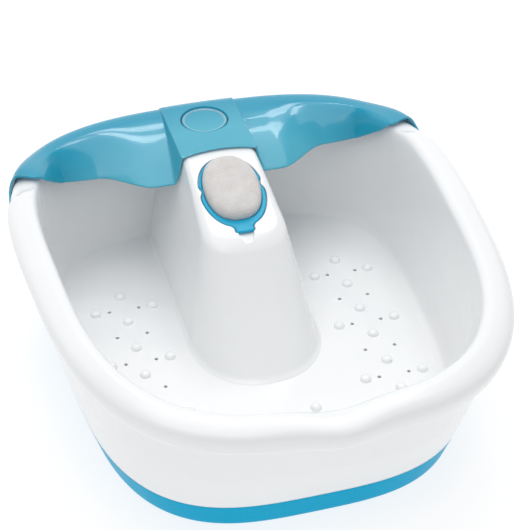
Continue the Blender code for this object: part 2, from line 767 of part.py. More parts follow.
def make_splash_guard():
    turns = [math.radians(turn) for turn in GUARD_ROWS]
    turns = [-turn for turn in reversed(turns[1:])] + turns
    bm = bmesh.new()
    rows = []
    for turn in turns:
        points, y = guard_section(math.pi / 2 + turn)
        rows.append([bm.verts.new(point) for point in cut_section(points, guard_reach(y))])
    for left, right in zip(rows, rows[1:]):
        for i in range(len(left) - 1):
            bm.faces.new((left[i], right[i], right[i + 1], left[i + 1]))
    mesh = bpy.data.meshes.new("splash_guard")
    bmesh.ops.recalc_face_normals(bm, faces=bm.faces)
    top = max(bm.faces, key=lambda face: face.calc_center_median().z)
    if top.normal.z < 0:
        bmesh.ops.reverse_faces(bm, faces=bm.faces)
    bm.to_mesh(mesh)
    bm.free()
    guard = add_object("splash_guard", mesh, CLEAR_TEAL)
    shell = guard.modifiers.new("shell", "SOLIDIFY")
    shell.thickness = GUARD_THICK
    shell.offset = -1.0
    shell.use_even_offset = True
    combine(guard, posts("guard_hole", BUTTON_HOLE, 0.125, 0.150, [(0, BUTTON_Y)], sides=32))


# ---- Toe button and switch ------------------------------------------------------------------


def make_button():
    top = 0.1368
    dish = 0.0009
    inner = BUTTON_RADIUS - 0.0015
    profile = ((0.0, top - dish), (BUTTON_RADIUS * 0.6, top - dish * 0.5),
               (BUTTON_RADIUS - 0.0006, top), (BUTTON_RADIUS, top - 0.0006),
               (BUTTON_RADIUS, 0.1330), (inner, 0.1330), (inner, 0.1348), (0.0, 0.1344))
    turned("toe_button", lowered(profile, 0.1344), CLEAR_TEAL, (0, BUTTON_Y, 0.1344), 32)
    stem_top = 0.1344 - GAP
    collar_top = WELL_BOSS_BOTTOM - GAP
    stem = ((0.0, stem_top), (PLUNGER_RADIUS, stem_top), (PLUNGER_RADIUS, collar_top),
            (0.006, collar_top), (0.006, 0.1230), (PLUNGER_RADIUS, 0.1230),
            (PLUNGER_RADIUS, 0.1013), (0.0, 0.1013))
    turned("button_plunger", lowered(stem, 0.1013), WHITE, (0, BUTTON_Y, 0.1013), 16)


def lowered(profile, origin):
    return tuple((radius, height - origin) for radius, height in profile)


def make_spring():
    low, high = 0.1052, 0.1222
    radius, turns, per_turn = 0.0046, 5, 9
    points = []
    for step in range(turns * per_turn + 1):
        turn = math.tau * step / per_turn
        height = mix(low, high, step / (turns * per_turn))
        points.append((radius * math.cos(turn), radius * math.sin(turn), height))
    spring = wire("button_spring", points, 0.00045, STEEL)
    spring.location = (0, BUTTON_Y, 0)


def make_switch():
    plate = box("switch_bracket", (0.044, 0.022, 0.002), (0, BUTTON_Y, 0.103), GREY)
    legs = [(x, BUTTON_Y) for x in (-0.0175, 0.0175)]
    combine(plate, posts("bracket_legs", 0.003, 0.1035, WELL_BOSS_BOTTOM - GAP, legs), "UNION")
    combine(plate, posts("bracket_hole", 0.0034, 0.100, 0.106, [(0, BUTTON_Y)]))
    body = box("switch_body", (0.016, 0.016, 0.018), (0, BUTTON_Y, 0.1017 - 0.009), BLACK)
    combine(body, posts("switch_bore", 0.0037, 0.090, 0.110, [(0, BUTTON_Y)]))
    posts("switch_actuator", 0.0032, 0.0940, 0.1010, [(0, BUTTON_Y)], WHITE)


# ---- Blower and air path --------------------------------------------------------------------


def make_blower():
    place = (0, BLOWER_Y, 0)
    top, low = 0.0320, 0.0105
    wall = 0.0022
    cup = ((0.0050, top), (BLOWER_RADIUS, top), (BLOWER_RADIUS, low), (BLOWER_RADIUS - wall, low),
           (BLOWER_RADIUS - wall, top - wall), (0.0050, top - wall))
    housing = turned("blower_housing", cup, BLACK, place, 36)
    snout = along_y("outlet_form", 0.0072, 0.062, 0.080, DUCT_Z)
    combine(housing, snout, "UNION")
    combine(housing, along_y("outlet_bore", 0.0055, 0.055, 0.085, DUCT_Z))
    cover = ring_profile(BLOWER_RADIUS, 0.010, 0.0080, low - GAP)
    turned("blower_cover", cover, BLACK, place, 36)
    make_impeller()
    turned("motor_can", ring_profile(0.021, 0.0044, top + GAP, 0.064), STEEL, place, 28)
    for name, z in (("lower", 0.0330), ("upper", 0.0585)):
        turned(f"motor_bush_{name}", ring_profile(0.0041, 0.0019, z, z + 0.005), BRASS, place, 16)
    posts("motor_shaft", SHAFT_RADIUS, 0.0118, 0.0690, [(0, 0)], STEEL, sides=12).location = place
    grommet = ring_profile(0.0055, 0.0022, PAN_FLOOR + GAP, 0.0080 - GAP)
    for number in range(3):
        turn = math.tau * (number / 3 + 0.25)
        x, y = 0.027 * math.cos(turn), 0.027 * math.sin(turn)
        turned(f"blower_grommet_{number + 1}", grommet, RUBBER, (x, BLOWER_Y + y, 0), 16)


def along_y(name, radius, front, rear, z):
    """A cutter cylinder along Y."""
    rod = posts(name, radius, -(rear - front) / 2, (rear - front) / 2, [(0, 0)], sides=20)
    rod.rotation_euler = (math.pi / 2, 0, 0)
    rod.location = (0, (front + rear) / 2, z)
    return rod


def make_impeller():
    hub = ((0.0019, 0.0275), (0.029, 0.0275), (0.029, 0.0258), (0.0055, 0.0255),
           (0.0050, 0.0125), (0.0019, 0.0125))
    wheel = turned("impeller", hub, GREY, (0, BLOWER_Y, 0), 24)
    bm = bmesh.new()
    blades = 9
    for blade in range(blades):
        turn = math.tau * blade / blades
        cube = bmesh.ops.create_cube(bm, size=1.0)["verts"]
        bmesh.ops.scale(bm, vec=(0.016, 0.0012, 0.0125), verts=cube)
        bmesh.ops.translate(bm, vec=(0.0202, 0.0, 0.0200), verts=cube)
        for vert in cube:
            x, y = vert.co.x, vert.co.y
            vert.co.x = x * math.cos(turn) - y * math.sin(turn)
            vert.co.y = x * math.sin(turn) + y * math.cos(turn)
    vanes = add_object("impeller_vanes", mesh_from("impeller_vanes", bm), None)
    vanes.location = (0, BLOWER_Y, 0)
    combine(wheel, vanes, "UNION")


def make_air_hose():
    """A short ribbed rubber sleeve between the blower's outlet and the manifold."""
    front, rear = MANIFOLD_Y[1] + GAP, 0.062 - GAP
    length = rear - front
    profile = [(0.0052, 0.0)]
    ribs = 3
    for rib in range(ribs):
        profile.append((0.0066, length * (rib + 0.05) / ribs))
        profile.append((0.0078, length * (rib + 0.5) / ribs))
    profile += [(0.0066, length), (0.0052, length)]
    hose = turned("air_hose", tuple(reversed(profile)), RUBBER, (0, rear, DUCT_Z), 20)
    hose.rotation_euler = (math.pi / 2, 0, 0)


def make_air_channels():
    low, high = 0.0140, UNDER_FLOOR_Z - GAP
    length = CHANNEL_REAR - CHANNEL_FRONT
    middle = (CHANNEL_REAR + CHANNEL_FRONT) / 2
    for side, sign in (("left", -1), ("right", 1)):
        x = sign * CHANNEL_X
        tray = box(f"air_channel_{side}", (CHANNEL_WIDTH, length, high - low),
                   (x, middle, (low + high) / 2), GREY)
        inside = ((CHANNEL_WIDTH - 0.004, length - 0.004, 0.020), (x, middle, low + 0.012))
        window = ((0.010, 0.016, 0.0055), (sign * (CHANNEL_X - CHANNEL_WIDTH / 2),
                                           sum(MANIFOLD_Y) / 2, 0.0192))
        combine(tray, boxes(f"tray_inside_{side}", [inside]))
        combine(tray, boxes(f"tray_window_{side}", [window]))
    width = 2 * (CHANNEL_X - CHANNEL_WIDTH / 2 - GAP)
    depth = MANIFOLD_Y[1] - MANIFOLD_Y[0]
    centre = (0, sum(MANIFOLD_Y) / 2, 0.0166)
    manifold = box("air_manifold", (width, depth, 0.0160), centre, GREY)
    combine(manifold, boxes("manifold_inside", [((width + 0.010, depth - 0.004, 0.012), centre)]))
    combine(manifold, along_y("manifold_port", 0.0052, 0.046, 0.056, DUCT_Z))


# ---- Heater, wiring and small electrical parts ----------------------------------------------


def make_electrics():
    top = UNDER_FLOOR_Z - GAP
    plate = box("heater_plate", (0.110, 0.050, 0.0025), (0, -0.082, top - 0.00125), ALUMINIUM)
    bevel(plate, 0.0006, segments=1)
    guard = box("thermostat", (0.018, 0.012, 0.006), (0.020, -0.082, top - 0.0025 - GAP - 0.003),
                BLACK)
    bevel(guard, 0.0008, segments=1)
    board_low = 0.0090 + GAP
    board_top = board_low + 0.0016
    board = box("control_board", (0.056, 0.032, 0.0016), (0, 0.160, board_low + 0.0008), BOARD)
    bevel(board, 0.0003, segments=1)
    turned("capacitor", ((0.0, 0.014), (0.0046, 0.014), (0.005, 0.0132), (0.005, 0.0),
                         (0.0, 0.0)), BLACK, (-0.015, 0.160, board_top + GAP), 18)
    block = box("terminal_block", (0.020, 0.011, 0.009), (0.014, 0.160, board_top + GAP + 0.0045),
                WHITE)
    bevel(block, 0.0006, segments=1)


def make_leads():
    block_top = 0.0090 + 0.0016 + 0.009 + 2 * GAP
    wire("switch_lead", smooth_path(
        [(0, BUTTON_Y, 0.0834), (0, BUTTON_Y + 0.001, 0.070), (0.006, 0.172, 0.045),
         (0.009, 0.162, 0.030), (0.009, 0.160, block_top + GAP)], 4), 0.0012, BLACK)
    wire("motor_lead", smooth_path(
        [(0.013, 0.116, 0.0653), (0.0135, 0.118, 0.070), (0.018, 0.130, 0.072),
         (0.020, 0.142, 0.055), (0.019, 0.155, 0.034), (0.018, 0.160, block_top + GAP)], 4),
        0.0012, RUBBER)
    wire("heater_lead", smooth_path(
        [(0.020, -0.0750, 0.0188), (0.024, -0.070, 0.0160), (0.036, -0.050, 0.0068),
         (0.046, 0.0, 0.0062), (0.048, 0.060, 0.0062), (0.046, 0.110, 0.0062),
         (0.042, 0.145, 0.0090), (0.034, 0.159, 0.0155), (0.0243, 0.160, 0.0160)], 4),
        0.0011, RUBBER)


# ---- Build ----------------------------------------------------------------------------------

FACE_FRAME = make_face_frame()
make_tub()
make_outer_body()
make_base_pan()
make_feet()
make_base_screws()
make_cord_gland()
make_splash_guard()
make_button()
make_spring()
make_switch()
make_pumice()
make_blower()
make_air_hose()
make_air_channels()
make_electrics()
make_leads()
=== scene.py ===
"""How the foot spa basin looks: fine meshes for the mouldings, and a material for every piece.

Metres, in the CAD's frame: +Z up, +Y to the rear, where the toes and the splash guard are.
"""

import json
import math

import bmesh
import bpy
import numpy as np
from mathutils import Matrix, Vector


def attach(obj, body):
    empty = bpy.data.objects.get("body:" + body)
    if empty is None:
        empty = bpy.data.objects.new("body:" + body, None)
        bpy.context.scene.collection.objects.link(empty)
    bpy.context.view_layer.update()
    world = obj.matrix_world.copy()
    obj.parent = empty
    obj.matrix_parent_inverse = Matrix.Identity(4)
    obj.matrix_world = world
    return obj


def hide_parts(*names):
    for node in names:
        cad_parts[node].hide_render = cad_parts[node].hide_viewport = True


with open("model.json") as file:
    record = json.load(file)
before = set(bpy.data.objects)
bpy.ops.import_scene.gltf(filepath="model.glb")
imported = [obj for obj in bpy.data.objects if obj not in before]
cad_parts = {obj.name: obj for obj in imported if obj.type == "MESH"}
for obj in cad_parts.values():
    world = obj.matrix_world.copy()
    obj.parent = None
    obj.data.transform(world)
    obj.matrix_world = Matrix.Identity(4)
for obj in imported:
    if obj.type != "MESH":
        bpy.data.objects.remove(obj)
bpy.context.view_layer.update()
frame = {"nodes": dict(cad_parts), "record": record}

# ---- The CAD's driving dimensions ----------------------------------------------------------

GAP = 0.0003
STEPS = 288  # points round each ring of the tub, the outer body and the base pan
SHARP = 35  # degrees: edges that bend more than this are shaded as edges

CENTRE_Y = 0.002
RIM_SIDE = 0.1725
RIM_END = 0.205
RIM_Z = 0.131
RIM_TAPER = 0.10
RIM_POWER = (3.03, 2.94)
RIM_INNER_POWER = 3.40
INNER_START, INNER_INSET = 0.011, 0.024
APEX_Z = 0.1389
APEX_INSET = 0.0165
WALL = 0.0025
FLOOR_Z = 0.0275
UNDER_FLOOR_Z = 0.025
SPOUT_OUT = 0.0069
SPOUT_DIP = 0.003
SPOUT_HALF_WIDTH = 0.024

# Height, half width, front, rear, taper, front power, rear power.
WALL_LEVELS = np.array((
    (0.0015, 0.1415, 0.151, 0.181, 0.13, 3.20, 3.40),
    (0.0275, 0.1495, 0.159, 0.189, 0.13, 3.20, 3.40),
    (0.0700, 0.1565, 0.178, 0.193, 0.12, 3.12, 3.25),
    (0.1235, 0.1638, 0.197, 0.196, 0.10, 3.03, 2.96),
))
SHELL = 0.0023
BAND_TOP = 0.0275
BODY_TOP = 0.1235
PAN_BOTTOM = 0.0015
PAN_FLOOR = 0.004

CONSOLE_TOP = 0.135
CONSOLE_HALF_TOP = 0.0290
CONSOLE_DRAFT = 0.20
CONSOLE_REAR = 0.202
CONSOLE_HOLLOW_REAR = 0.188
TUB_REAR = 0.183
FACE_TOP_Y = 0.120
FACE_FOOT_Y = 0.038
FACE_FOOT_Z = 0.114
FACE_TILT = math.atan2(CONSOLE_TOP - FACE_FOOT_Z, FACE_TOP_Y - FACE_FOOT_Y)
NOSE_FOOT_Y = -0.033
NOSE_TOP_Y = 0.0500
HOLLOW_DROP = 0.0092  # how far the console's hollow stays under its top
CONSOLE_FILLET = 0.004  # round the console's foot

GUARD_THICK = 0.0018
GUARD_PROUD = 0.0006
GUARD_COVER = 0.0021
RIM_SUNK = 0.0039
GUARD_CREST = 0.1346
GUARD_FLAP_Z = 0.1135
FLAP_INSET = 0.0290
PLATEAU_Z = 0.1376
PLATEAU_HALF = 0.0311
PLATEAU_CROWN = 0.0006
PLATEAU_INNER_HALF = PLATEAU_HALF - 0.00142

BUTTON_Y = 0.174
BUTTON_RADIUS = 0.0187
BUTTON_HOLE = 0.0193
WELL_FLOOR = 0.1295
WELL_RADIUS = 0.0203
BUTTON_TOP = 0.1368
PLUNGER_HOLE_RADIUS = 0.0036

HOLDER_Y = 0.082
HOLDER_HALF_WIDTH = 0.0256
HOLDER_HALF_LENGTH = 0.036
HOLDER_UP = 0.002
HOLDER_THICK = 0.003
RECESS_DEPTH = 0.0036
POCKET_FLOOR = -0.0018
STONE_HALF_WIDTH = 0.0218
STONE_HALF_LENGTH = 0.0308
STONE_UP = 0.0040
TAB_END = 0.0393

BUBBLE_HOLE_RADIUS = 0.0013
NODE_RADIUS, NODE_HEIGHT = 0.0044, 0.0036
NODE_SPACING = 0.033

BLOWER_Y = 0.110
SCREW_SPOTS = ((0.088, -0.118), (0.124, -0.030), (0.118, 0.110))
FOOT_SPOTS = (("front", 0.070, -0.125), ("rear", 0.110, 0.148))
FOOT_RADIUS = 0.009
GLAND_X, GLAND_Z = 0.060, 0.014
GLAND_FACE_Y = 0.1905
GLAND_BOSS = 0.0105

# ---- Meshes ---------------------------------------------------------------------------------


def smoothstep(low, high, value):
    t = np.clip((value - low) / (high - low), 0.0, 1.0)
    return t * t * (3 - 2 * t)


def mix(a, b, t):
    return a + (b - a) * t


def smooth_max(a, b, width):
    near = np.maximum(width - np.abs(a - b), 0.0) / width
    return np.maximum(a, b) + near * near * width / 4


def turn_angles():
    return math.tau * (np.arange(STEPS) + 0.5) / STEPS


def full_turn(steps):
    return math.tau * np.arange(steps) / steps


def joined(*columns):
    """Coordinates, some of them single numbers, as rows of x, y, z."""
    return np.stack(np.broadcast_arrays(*columns), axis=-1)


def smooth_rings(rings, per_span):
    """Rings between the given ones, along smooth curves through their points."""
    rings = np.array(rings, float)
    gaps = np.linalg.norm(np.diff(rings, axis=0), axis=2).mean(axis=1) ** 0.5
    knots = np.concatenate([[0.0], np.cumsum(gaps)])
    slopes = np.gradient(rings, knots, axis=0)
    made = []
    for i, gap in enumerate(gaps):
        for step in range(per_span):
            t = step / per_span
            made.append(
                rings[i] * (2 * t**3 - 3 * t**2 + 1) + rings[i + 1] * (3 * t**2 - 2 * t**3)
                + slopes[i] * gap * (t**3 - 2 * t**2 + t) + slopes[i + 1] * gap * (t**3 - t**2)
            )
    made.append(rings[-1])
    return np.array(made)


def strip_faces(rows, count, start=0, closed=True):
    """Four-sided faces between rows of points; each row is a ring if closed."""
    faces = []
    for row in range(rows - 1):
        low, high = start + row * count, start + (row + 1) * count
        for i in range(count if closed else count - 1):
            j = (i + 1) % count
            faces.append((low + i, low + j, high + j, high + i))
    return faces


def mesh_object(name, points, faces, sharp=SHARP):
    mesh = bpy.data.meshes.new(name)
    mesh.from_pydata([tuple(point) for point in points], [], faces)
    mesh.validate()
    made = bpy.data.objects.new(name, mesh)
    bpy.context.scene.collection.objects.link(made)
    tidy(made, sharp)
    return made


def tidy(made, sharp):
    """Outward faces, smooth but for edges sharper than this many degrees."""
    bm = bmesh.new()
    bm.from_mesh(made.data)
    bmesh.ops.remove_doubles(bm, verts=bm.verts, dist=1e-6)
    bmesh.ops.recalc_face_normals(bm, faces=bm.faces)
    bm.to_mesh(made.data)
    bm.free()
    shade(made, sharp)


def shade(made, sharp=SHARP):
    made.data.shade_smooth()
    made.data.set_sharp_from_angle(angle=math.radians(sharp))


def loft(name, rings, sharp=SHARP, closed_loop=False, caps=True):
    """Bridges closed rings of equal count, with a flat cap at each end or joined end to end."""
    rings = np.array(rings, float)
    rows, count = rings.shape[:2]
    faces = strip_faces(rows, count)
    if closed_loop:
        last = (rows - 1) * count
        faces += [(last + i, last + (i + 1) % count, (i + 1) % count, i) for i in range(count)]
    elif caps:
        faces.append(tuple(range(count)))
        faces.append(tuple(range((rows - 1) * count, rows * count)))
    return mesh_object(name, rings.reshape(-1, 3), faces, sharp)


def turned(name, profile, steps=64, place=(0.0, 0.0, 0.0), tilt=0.0):
    """A closed profile of (radius, height), turned about Z, then tilted about X and moved."""
    turns = full_turn(steps)
    rings = [joined(r * np.cos(turns), r * np.sin(turns), z) for r, z in profile]
    closed = profile[0][0] > 0 and profile[-1][0] > 0
    made = loft(name, rings, closed_loop=closed, caps=False)
    made.data.transform(Matrix.Translation(place) @ Matrix.Rotation(tilt, 4, "X"))
    return made


def rod(name, radius, low, high, spots, steps=32, flare=0.0):
    """Upright cylinders in one mesh, with tops that widen by flare."""
    turns = full_turn(steps)
    points, faces = [], []
    for x, y in spots:
        start = len(points)
        for r, z in ((radius, low), (radius + flare, high)):
            points += list(joined(x + r * np.cos(turns), y + r * np.sin(turns), z))
        faces.append(tuple(range(start, start + steps)))
        faces.append(tuple(range(start + steps, start + 2 * steps)))
        faces += strip_faces(2, steps, start)
    return mesh_object(name, points, faces)


def brick(name, size, centre):
    square = ((-0.5, -0.5), (0.5, -0.5), (0.5, 0.5), (-0.5, 0.5))
    corners = [(x, y, z) for z in (-0.5, 0.5) for x, y in square]
    return loft(name, np.array(corners).reshape(2, 4, 3) * size + centre)


def combine(target, other, operation="DIFFERENCE"):
    """Joins or cuts target with other, which is used up."""
    step = target.modifiers.new("step", "BOOLEAN")
    step.operation, step.object, step.solver = operation, other, "EXACT"
    bake(target)
    bpy.data.objects.remove(other)


def bake(target):
    """Applies the object's modifiers to its mesh."""
    graph = bpy.context.evaluated_depsgraph_get()
    shaped = bpy.data.meshes.new_from_object(target.evaluated_get(graph))
    target.modifiers.clear()
    target.data = shaped


def even_shading(target):
    """Large flat faces stay flat up to their rounded edges."""
    shade(target)
    weighted = target.modifiers.new("even", "WEIGHTED_NORMAL")
    weighted.keep_sharp = True
    weighted.weight = 60


def mirrored(spots):
    return [(side * x, y) for x, y in spots for side in (-1, 1)]


# ---- Outlines -------------------------------------------------------------------------------


def outline(turns, side, front, rear, powers, taper):
    """A superellipse whose front and rear halves differ, wider to the rear."""
    across, along = np.cos(turns), np.sin(turns)
    end = np.where(along > 0, rear, front)
    power = np.where(along > 0, powers[1], powers[0])
    radius = (np.abs(across / side) ** power + np.abs(along / end) ** power) ** (-1 / power)
    y = radius * along
    return radius * across * (1 + taper * y / RIM_END), y + CENTRE_Y


def rim_powers(inset):
    rear = mix(RIM_POWER[1], RIM_INNER_POWER, smoothstep(INNER_START, INNER_INSET, inset))
    return RIM_POWER[0], rear


def rim_outline(turns, inset):
    end = RIM_END - inset
    return outline(turns, RIM_SIDE - inset, end, end, rim_powers(inset), RIM_TAPER)


def rear_y(x, inset):
    """Where the rear half of the rim's outline passes a given x."""
    end, power = RIM_END - inset, rim_powers(inset)[1]
    y = end * 0.9
    for _ in range(14):
        side = (RIM_SIDE - inset) * (1 + RIM_TAPER * y / RIM_END)
        y = end * np.maximum(1 - (np.abs(x) / side) ** power, 0.0) ** (1 / power)
    return y + CENTRE_Y


def plain_ring(z, side, front, rear, powers, taper):
    return joined(*outline(turn_angles(), side, front, rear, powers, taper), z)


def wall_ring(z, inset):
    """The outer wall's outline at a height, drawn in by inset."""
    side, front, rear, taper, *powers = (
        np.interp(z, WALL_LEVELS[:, 0], WALL_LEVELS[:, i]) for i in range(1, 7)
    )
    return plain_ring(z, side - inset, front - inset, rear - inset, powers, taper)


# ---- Tub ------------------------------------------------------------------------------------

# Inset, height, share of the spout, where the rim starts to draw back under the guard, and the
# inset and height that it has under the guard.
RIM_SECTION = (
    (0.0052, 0.1204, 0.70, 0.073, 0.0068, 0.1204),
    (0.0026, 0.1200, 0.70, 0.073, 0.0042, 0.1200),
    (0.0006, 0.1250, 0.75, 0.086, 0.0029, 0.1245),
    (0.0000, 0.1310, 0.80, 0.098, 0.0026, 0.1285),
    (0.0014, 0.1345, 0.90, 0.105, 0.0036, 0.1303),
    (0.0052, 0.1372, 1.00, 0.109, 0.0052, 0.1313),
    (0.0110, 0.1386, 1.00, 0.112, 0.0082, 0.1318),
    (0.0165, 0.1389, 1.00, 0.112, 0.0110, 0.1316),
    (0.0205, 0.1376, 0.90, 0.115, 0.0134, 0.1303),
    (0.0228, 0.1350, 0.60, 0.118, 0.0150, 0.1278),
    (0.0240, 0.1290, 0.30, 0.122, 0.0160, 0.1210),
)
RIM_UNDERSIDE = (
    (0.0214, 0.1290, 0.30, 0.122, 0.0134, 0.1210),
    (0.0198, 0.1338, 0.60, 0.118, 0.0122, 0.1262),
    (0.0110, 0.1360, 1.00, 0.112, 0.0084, 0.1294),
    (0.0056, 0.1336, 0.90, 0.105, 0.0064, 0.1284),
    (0.0032, 0.1300, 0.80, 0.098, 0.0046, 0.1262),
)
INNER_WALL = (
    (0.0900, 0.1465, 0.1700, 0.1805),
    (0.0535, 0.1445, 0.1600, 0.1790),
    (0.0360, 0.1415, 0.1530, 0.1770),
    (0.0300, 0.1380, 0.1490, 0.1735),
    (FLOOR_Z, 0.1310, 0.1420, 0.1670),
)
INNER_POWER = (3.05, 3.5)


def rim_ring(inset, z, spout_share, cover_from, rear_inset, rear_z):
    y = rim_outline(turn_angles(), inset)[1]
    covered = smoothstep(cover_from - 0.005, cover_from + 0.003, y)
    to_rear = smoothstep(0.124, 0.164, y)
    drawn = inset + GUARD_COVER * covered * (1 - inset / APEX_INSET)
    sunk = RIM_SUNK * covered * np.clip((z - RIM_Z) / (APEX_Z - RIM_Z), 0.0, 1.0)
    x, y = rim_outline(turn_angles(), mix(drawn, rear_inset, to_rear))
    bulge = np.where(y < 0, np.exp(-((x / SPOUT_HALF_WIDTH) ** 2)), 0.0) * spout_share
    level = mix(z - sunk, rear_z, to_rear) - SPOUT_DIP * bulge
    return joined(x, y - SPOUT_OUT * bulge, level)


def make_tub():
    outer = [
        plain_ring(max(z - WALL, UNDER_FLOOR_Z), side + WALL, front + WALL, rear + WALL,
                   INNER_POWER, RIM_TAPER)
        for z, side, front, rear in reversed(INNER_WALL[:-1])
    ]
    inner = [plain_ring(*level, INNER_POWER, RIM_TAPER) for level in INNER_WALL]
    under = [rim_ring(*station) for station in RIM_UNDERSIDE]
    rim = [rim_ring(*station) for station in RIM_SECTION]
    hidden = smooth_rings([*outer, *under], 2)
    shown = smooth_rings([*rim, *inner], 5)
    side, front, rear = INNER_WALL[-1][1:]
    margin = 0.003
    bottom = plain_ring(UNDER_FLOOR_Z, side, front, rear, INNER_POWER, RIM_TAPER)
    floor = plain_ring(FLOOR_Z, side - margin, front - margin, rear - margin, INNER_POWER, RIM_TAPER)
    tub = loft("tub", [bottom, *hidden, *shown, floor])
    combine(tub, make_console("console", 0.0), "UNION")
    combine(tub, make_console("console_hollow", WALL))
    combine(tub, make_massage_nodes(), "UNION")
    combine(tub, rod("button_well", WELL_RADIUS, WELL_FLOOR, 0.150, [(0, BUTTON_Y)], 64))
    combine(tub, rod("plunger_hole", PLUNGER_HOLE_RADIUS, 0.120, 0.131, [(0, BUTTON_Y)]))
    recess = make_recess()
    combine(recess, make_notch(), "UNION")
    combine(tub, recess)
    holes = rod("bubble_holes", BUBBLE_HOLE_RADIUS, 0.020, FLOOR_Z + 0.0002, bubble_spots(), 20, 0.0002)
    combine(tub, holes)
    even_shading(tub)
    return tub


def bubble_spots():
    rows = [-0.083 + NODE_SPACING * step for step in range(6)]
    return mirrored([(x, y) for x in (0.080, 0.104) for y in rows])


def massage_spots():
    spots = [(0.092, -0.066 + NODE_SPACING * step) for step in range(6)]
    spots += [(x, -0.050 + 2 * NODE_SPACING * step) for x in (0.069, 0.115) for step in range(3)]
    return mirrored([*spots, (0.023, -0.100), (0.023, -0.070), (0.058, -0.118)])


def make_massage_nodes():
    steps, levels = 28, 7
    turns = full_turn(steps)
    points, faces = [], []
    for x, y in massage_spots():
        start = len(points)
        for level in range(levels):
            lift = math.pi / 2 * level / levels
            radius = NODE_RADIUS * math.cos(lift) ** 0.8
            z = FLOOR_Z - (0.0008 if level == 0 else 0.0002) + NODE_HEIGHT * math.sin(lift)
            points += list(joined(x + radius * np.cos(turns), y + radius * np.sin(turns), z))
        faces += strip_faces(levels, steps, start)
        faces.append(tuple(range(start, start + steps)))
        faces.append(tuple(range(len(points) - steps, len(points))))
    return mesh_object("massage_nodes", points, faces)


# ---- Console --------------------------------------------------------------------------------

FLANK_STEPS, NOSE_STEPS, CAP_STEPS = 18, 96, 6
CONSOLE_POINTS = 2 * FLANK_STEPS + NOSE_STEPS + 1


def face_z(y):
    return FACE_FOOT_Z + (y - FACE_FOOT_Y) * math.tan(FACE_TILT)


def top_z(y, drop):
    """The console's deck and its sloping face, with a soft bend between them."""
    return -smooth_max(-CONSOLE_TOP + drop, -face_z(y) + drop, 0.002)


def console_outline(z, inset):
    """The console's plan outline, with a height for each of its points."""
    rise = (z - FLOOR_Z) / (CONSOLE_TOP - FLOOR_Z)
    half = CONSOLE_HALF_TOP + CONSOLE_DRAFT * (CONSOLE_TOP - z) - inset
    front = mix(NOSE_FOOT_Y, NOSE_TOP_Y, rise) + inset * 1.25
    length = mix(0.062, 0.016, rise)
    power = mix(2.3, 3.4, rise)
    if inset:
        rear = np.full_like(z, CONSOLE_HOLLOW_REAR)
    else:
        rear = mix(TUB_REAR, CONSOLE_REAR, smoothstep(0.124, 0.129, z))
    along = np.linspace(0, 1, FLANK_STEPS, endpoint=False)
    turns = np.linspace(0, math.pi, NOSE_STEPS + 1)
    first, last = FLANK_STEPS, FLANK_STEPS + NOSE_STEPS + 1
    x = np.concatenate([-half[:first], np.zeros(NOSE_STEPS + 1), half[last:]])
    nose = slice(first, last)
    bend = 2 / power[nose]
    cosine = np.cos(turns)
    x[nose] = -half[nose] * np.sign(cosine) * np.abs(cosine) ** bend
    y = mix(rear, front + length, np.concatenate([along, np.ones(NOSE_STEPS + 1), along[::-1]]))
    y[nose] = front[nose] + length[nose] * (1 - np.abs(np.sin(turns)) ** bend)
    return x, y


def inward(x, y):
    """Unit vectors in plan that point from the outline into the console."""
    along_x, along_y = np.gradient(x), np.gradient(y)
    size = np.hypot(along_x, along_y)
    return -along_y / size, along_x / size


def console_top(inset, drop):
    """The height that each point of the outline reaches, settled by going round."""
    top = np.full(CONSOLE_POINTS, CONSOLE_TOP - 0.005)
    for _ in range(20):
        top = top_z(console_outline(top, inset)[1], drop)
    return top


def console_foot():
    """Rows that flare out at the foot, from just under the wells' floor."""
    rows = []
    for turn in np.radians((62, 45, 30, 15)):
        out = CONSOLE_FILLET * (1 - math.cos(turn))
        z = np.full(CONSOLE_POINTS, FLOOR_Z + CONSOLE_FILLET * (1 - math.sin(turn)))
        x, y = console_outline(z, 0.0)
        in_x, in_y = inward(x, y)
        rows.append(joined(x - in_x * out, y - in_y * out, z))
    below = rows[0] + (rows[0] - rows[1])
    below[:, 2] = FLOOR_Z - 0.0012
    return [below, *rows]


def console_side(low, top, radius, inset):
    heights = [mix(low, top - radius, step / 15) for step in range(16)]
    return [joined(*console_outline(z, inset), z) for z in heights]


def console_shoulder(top, radius, inset, drop):
    """Rows that turn from the side into the top."""
    rows = []
    for step in range(1, 11):
        turn = math.pi / 2 * step / 10
        z = top - radius * (1 - math.sin(turn))
        x, y = console_outline(z, inset)
        in_x, in_y = inward(x, y)
        x = x + in_x * radius * (1 - math.cos(turn))
        y = y + in_y * radius * (1 - math.cos(turn))
        level = mix(z, top_z(y, drop) - radius * (1 - math.sin(turn)), step / 10)
        rows.append(joined(x, y, level))
    return rows


def console_cap(edge, drop):
    """Rows that close the top, each nearer to the middle line."""
    middle_y = np.maximum(edge[:, 1], edge[:, 1].min() + 0.026)
    rows = []
    for step in range(1, CAP_STEPS + 1):
        x = mix(edge[:, 0], 0.0, step / CAP_STEPS)
        y = mix(edge[:, 1], middle_y, step / CAP_STEPS)
        rows.append(joined(x, y, top_z(y, drop)))
    return rows


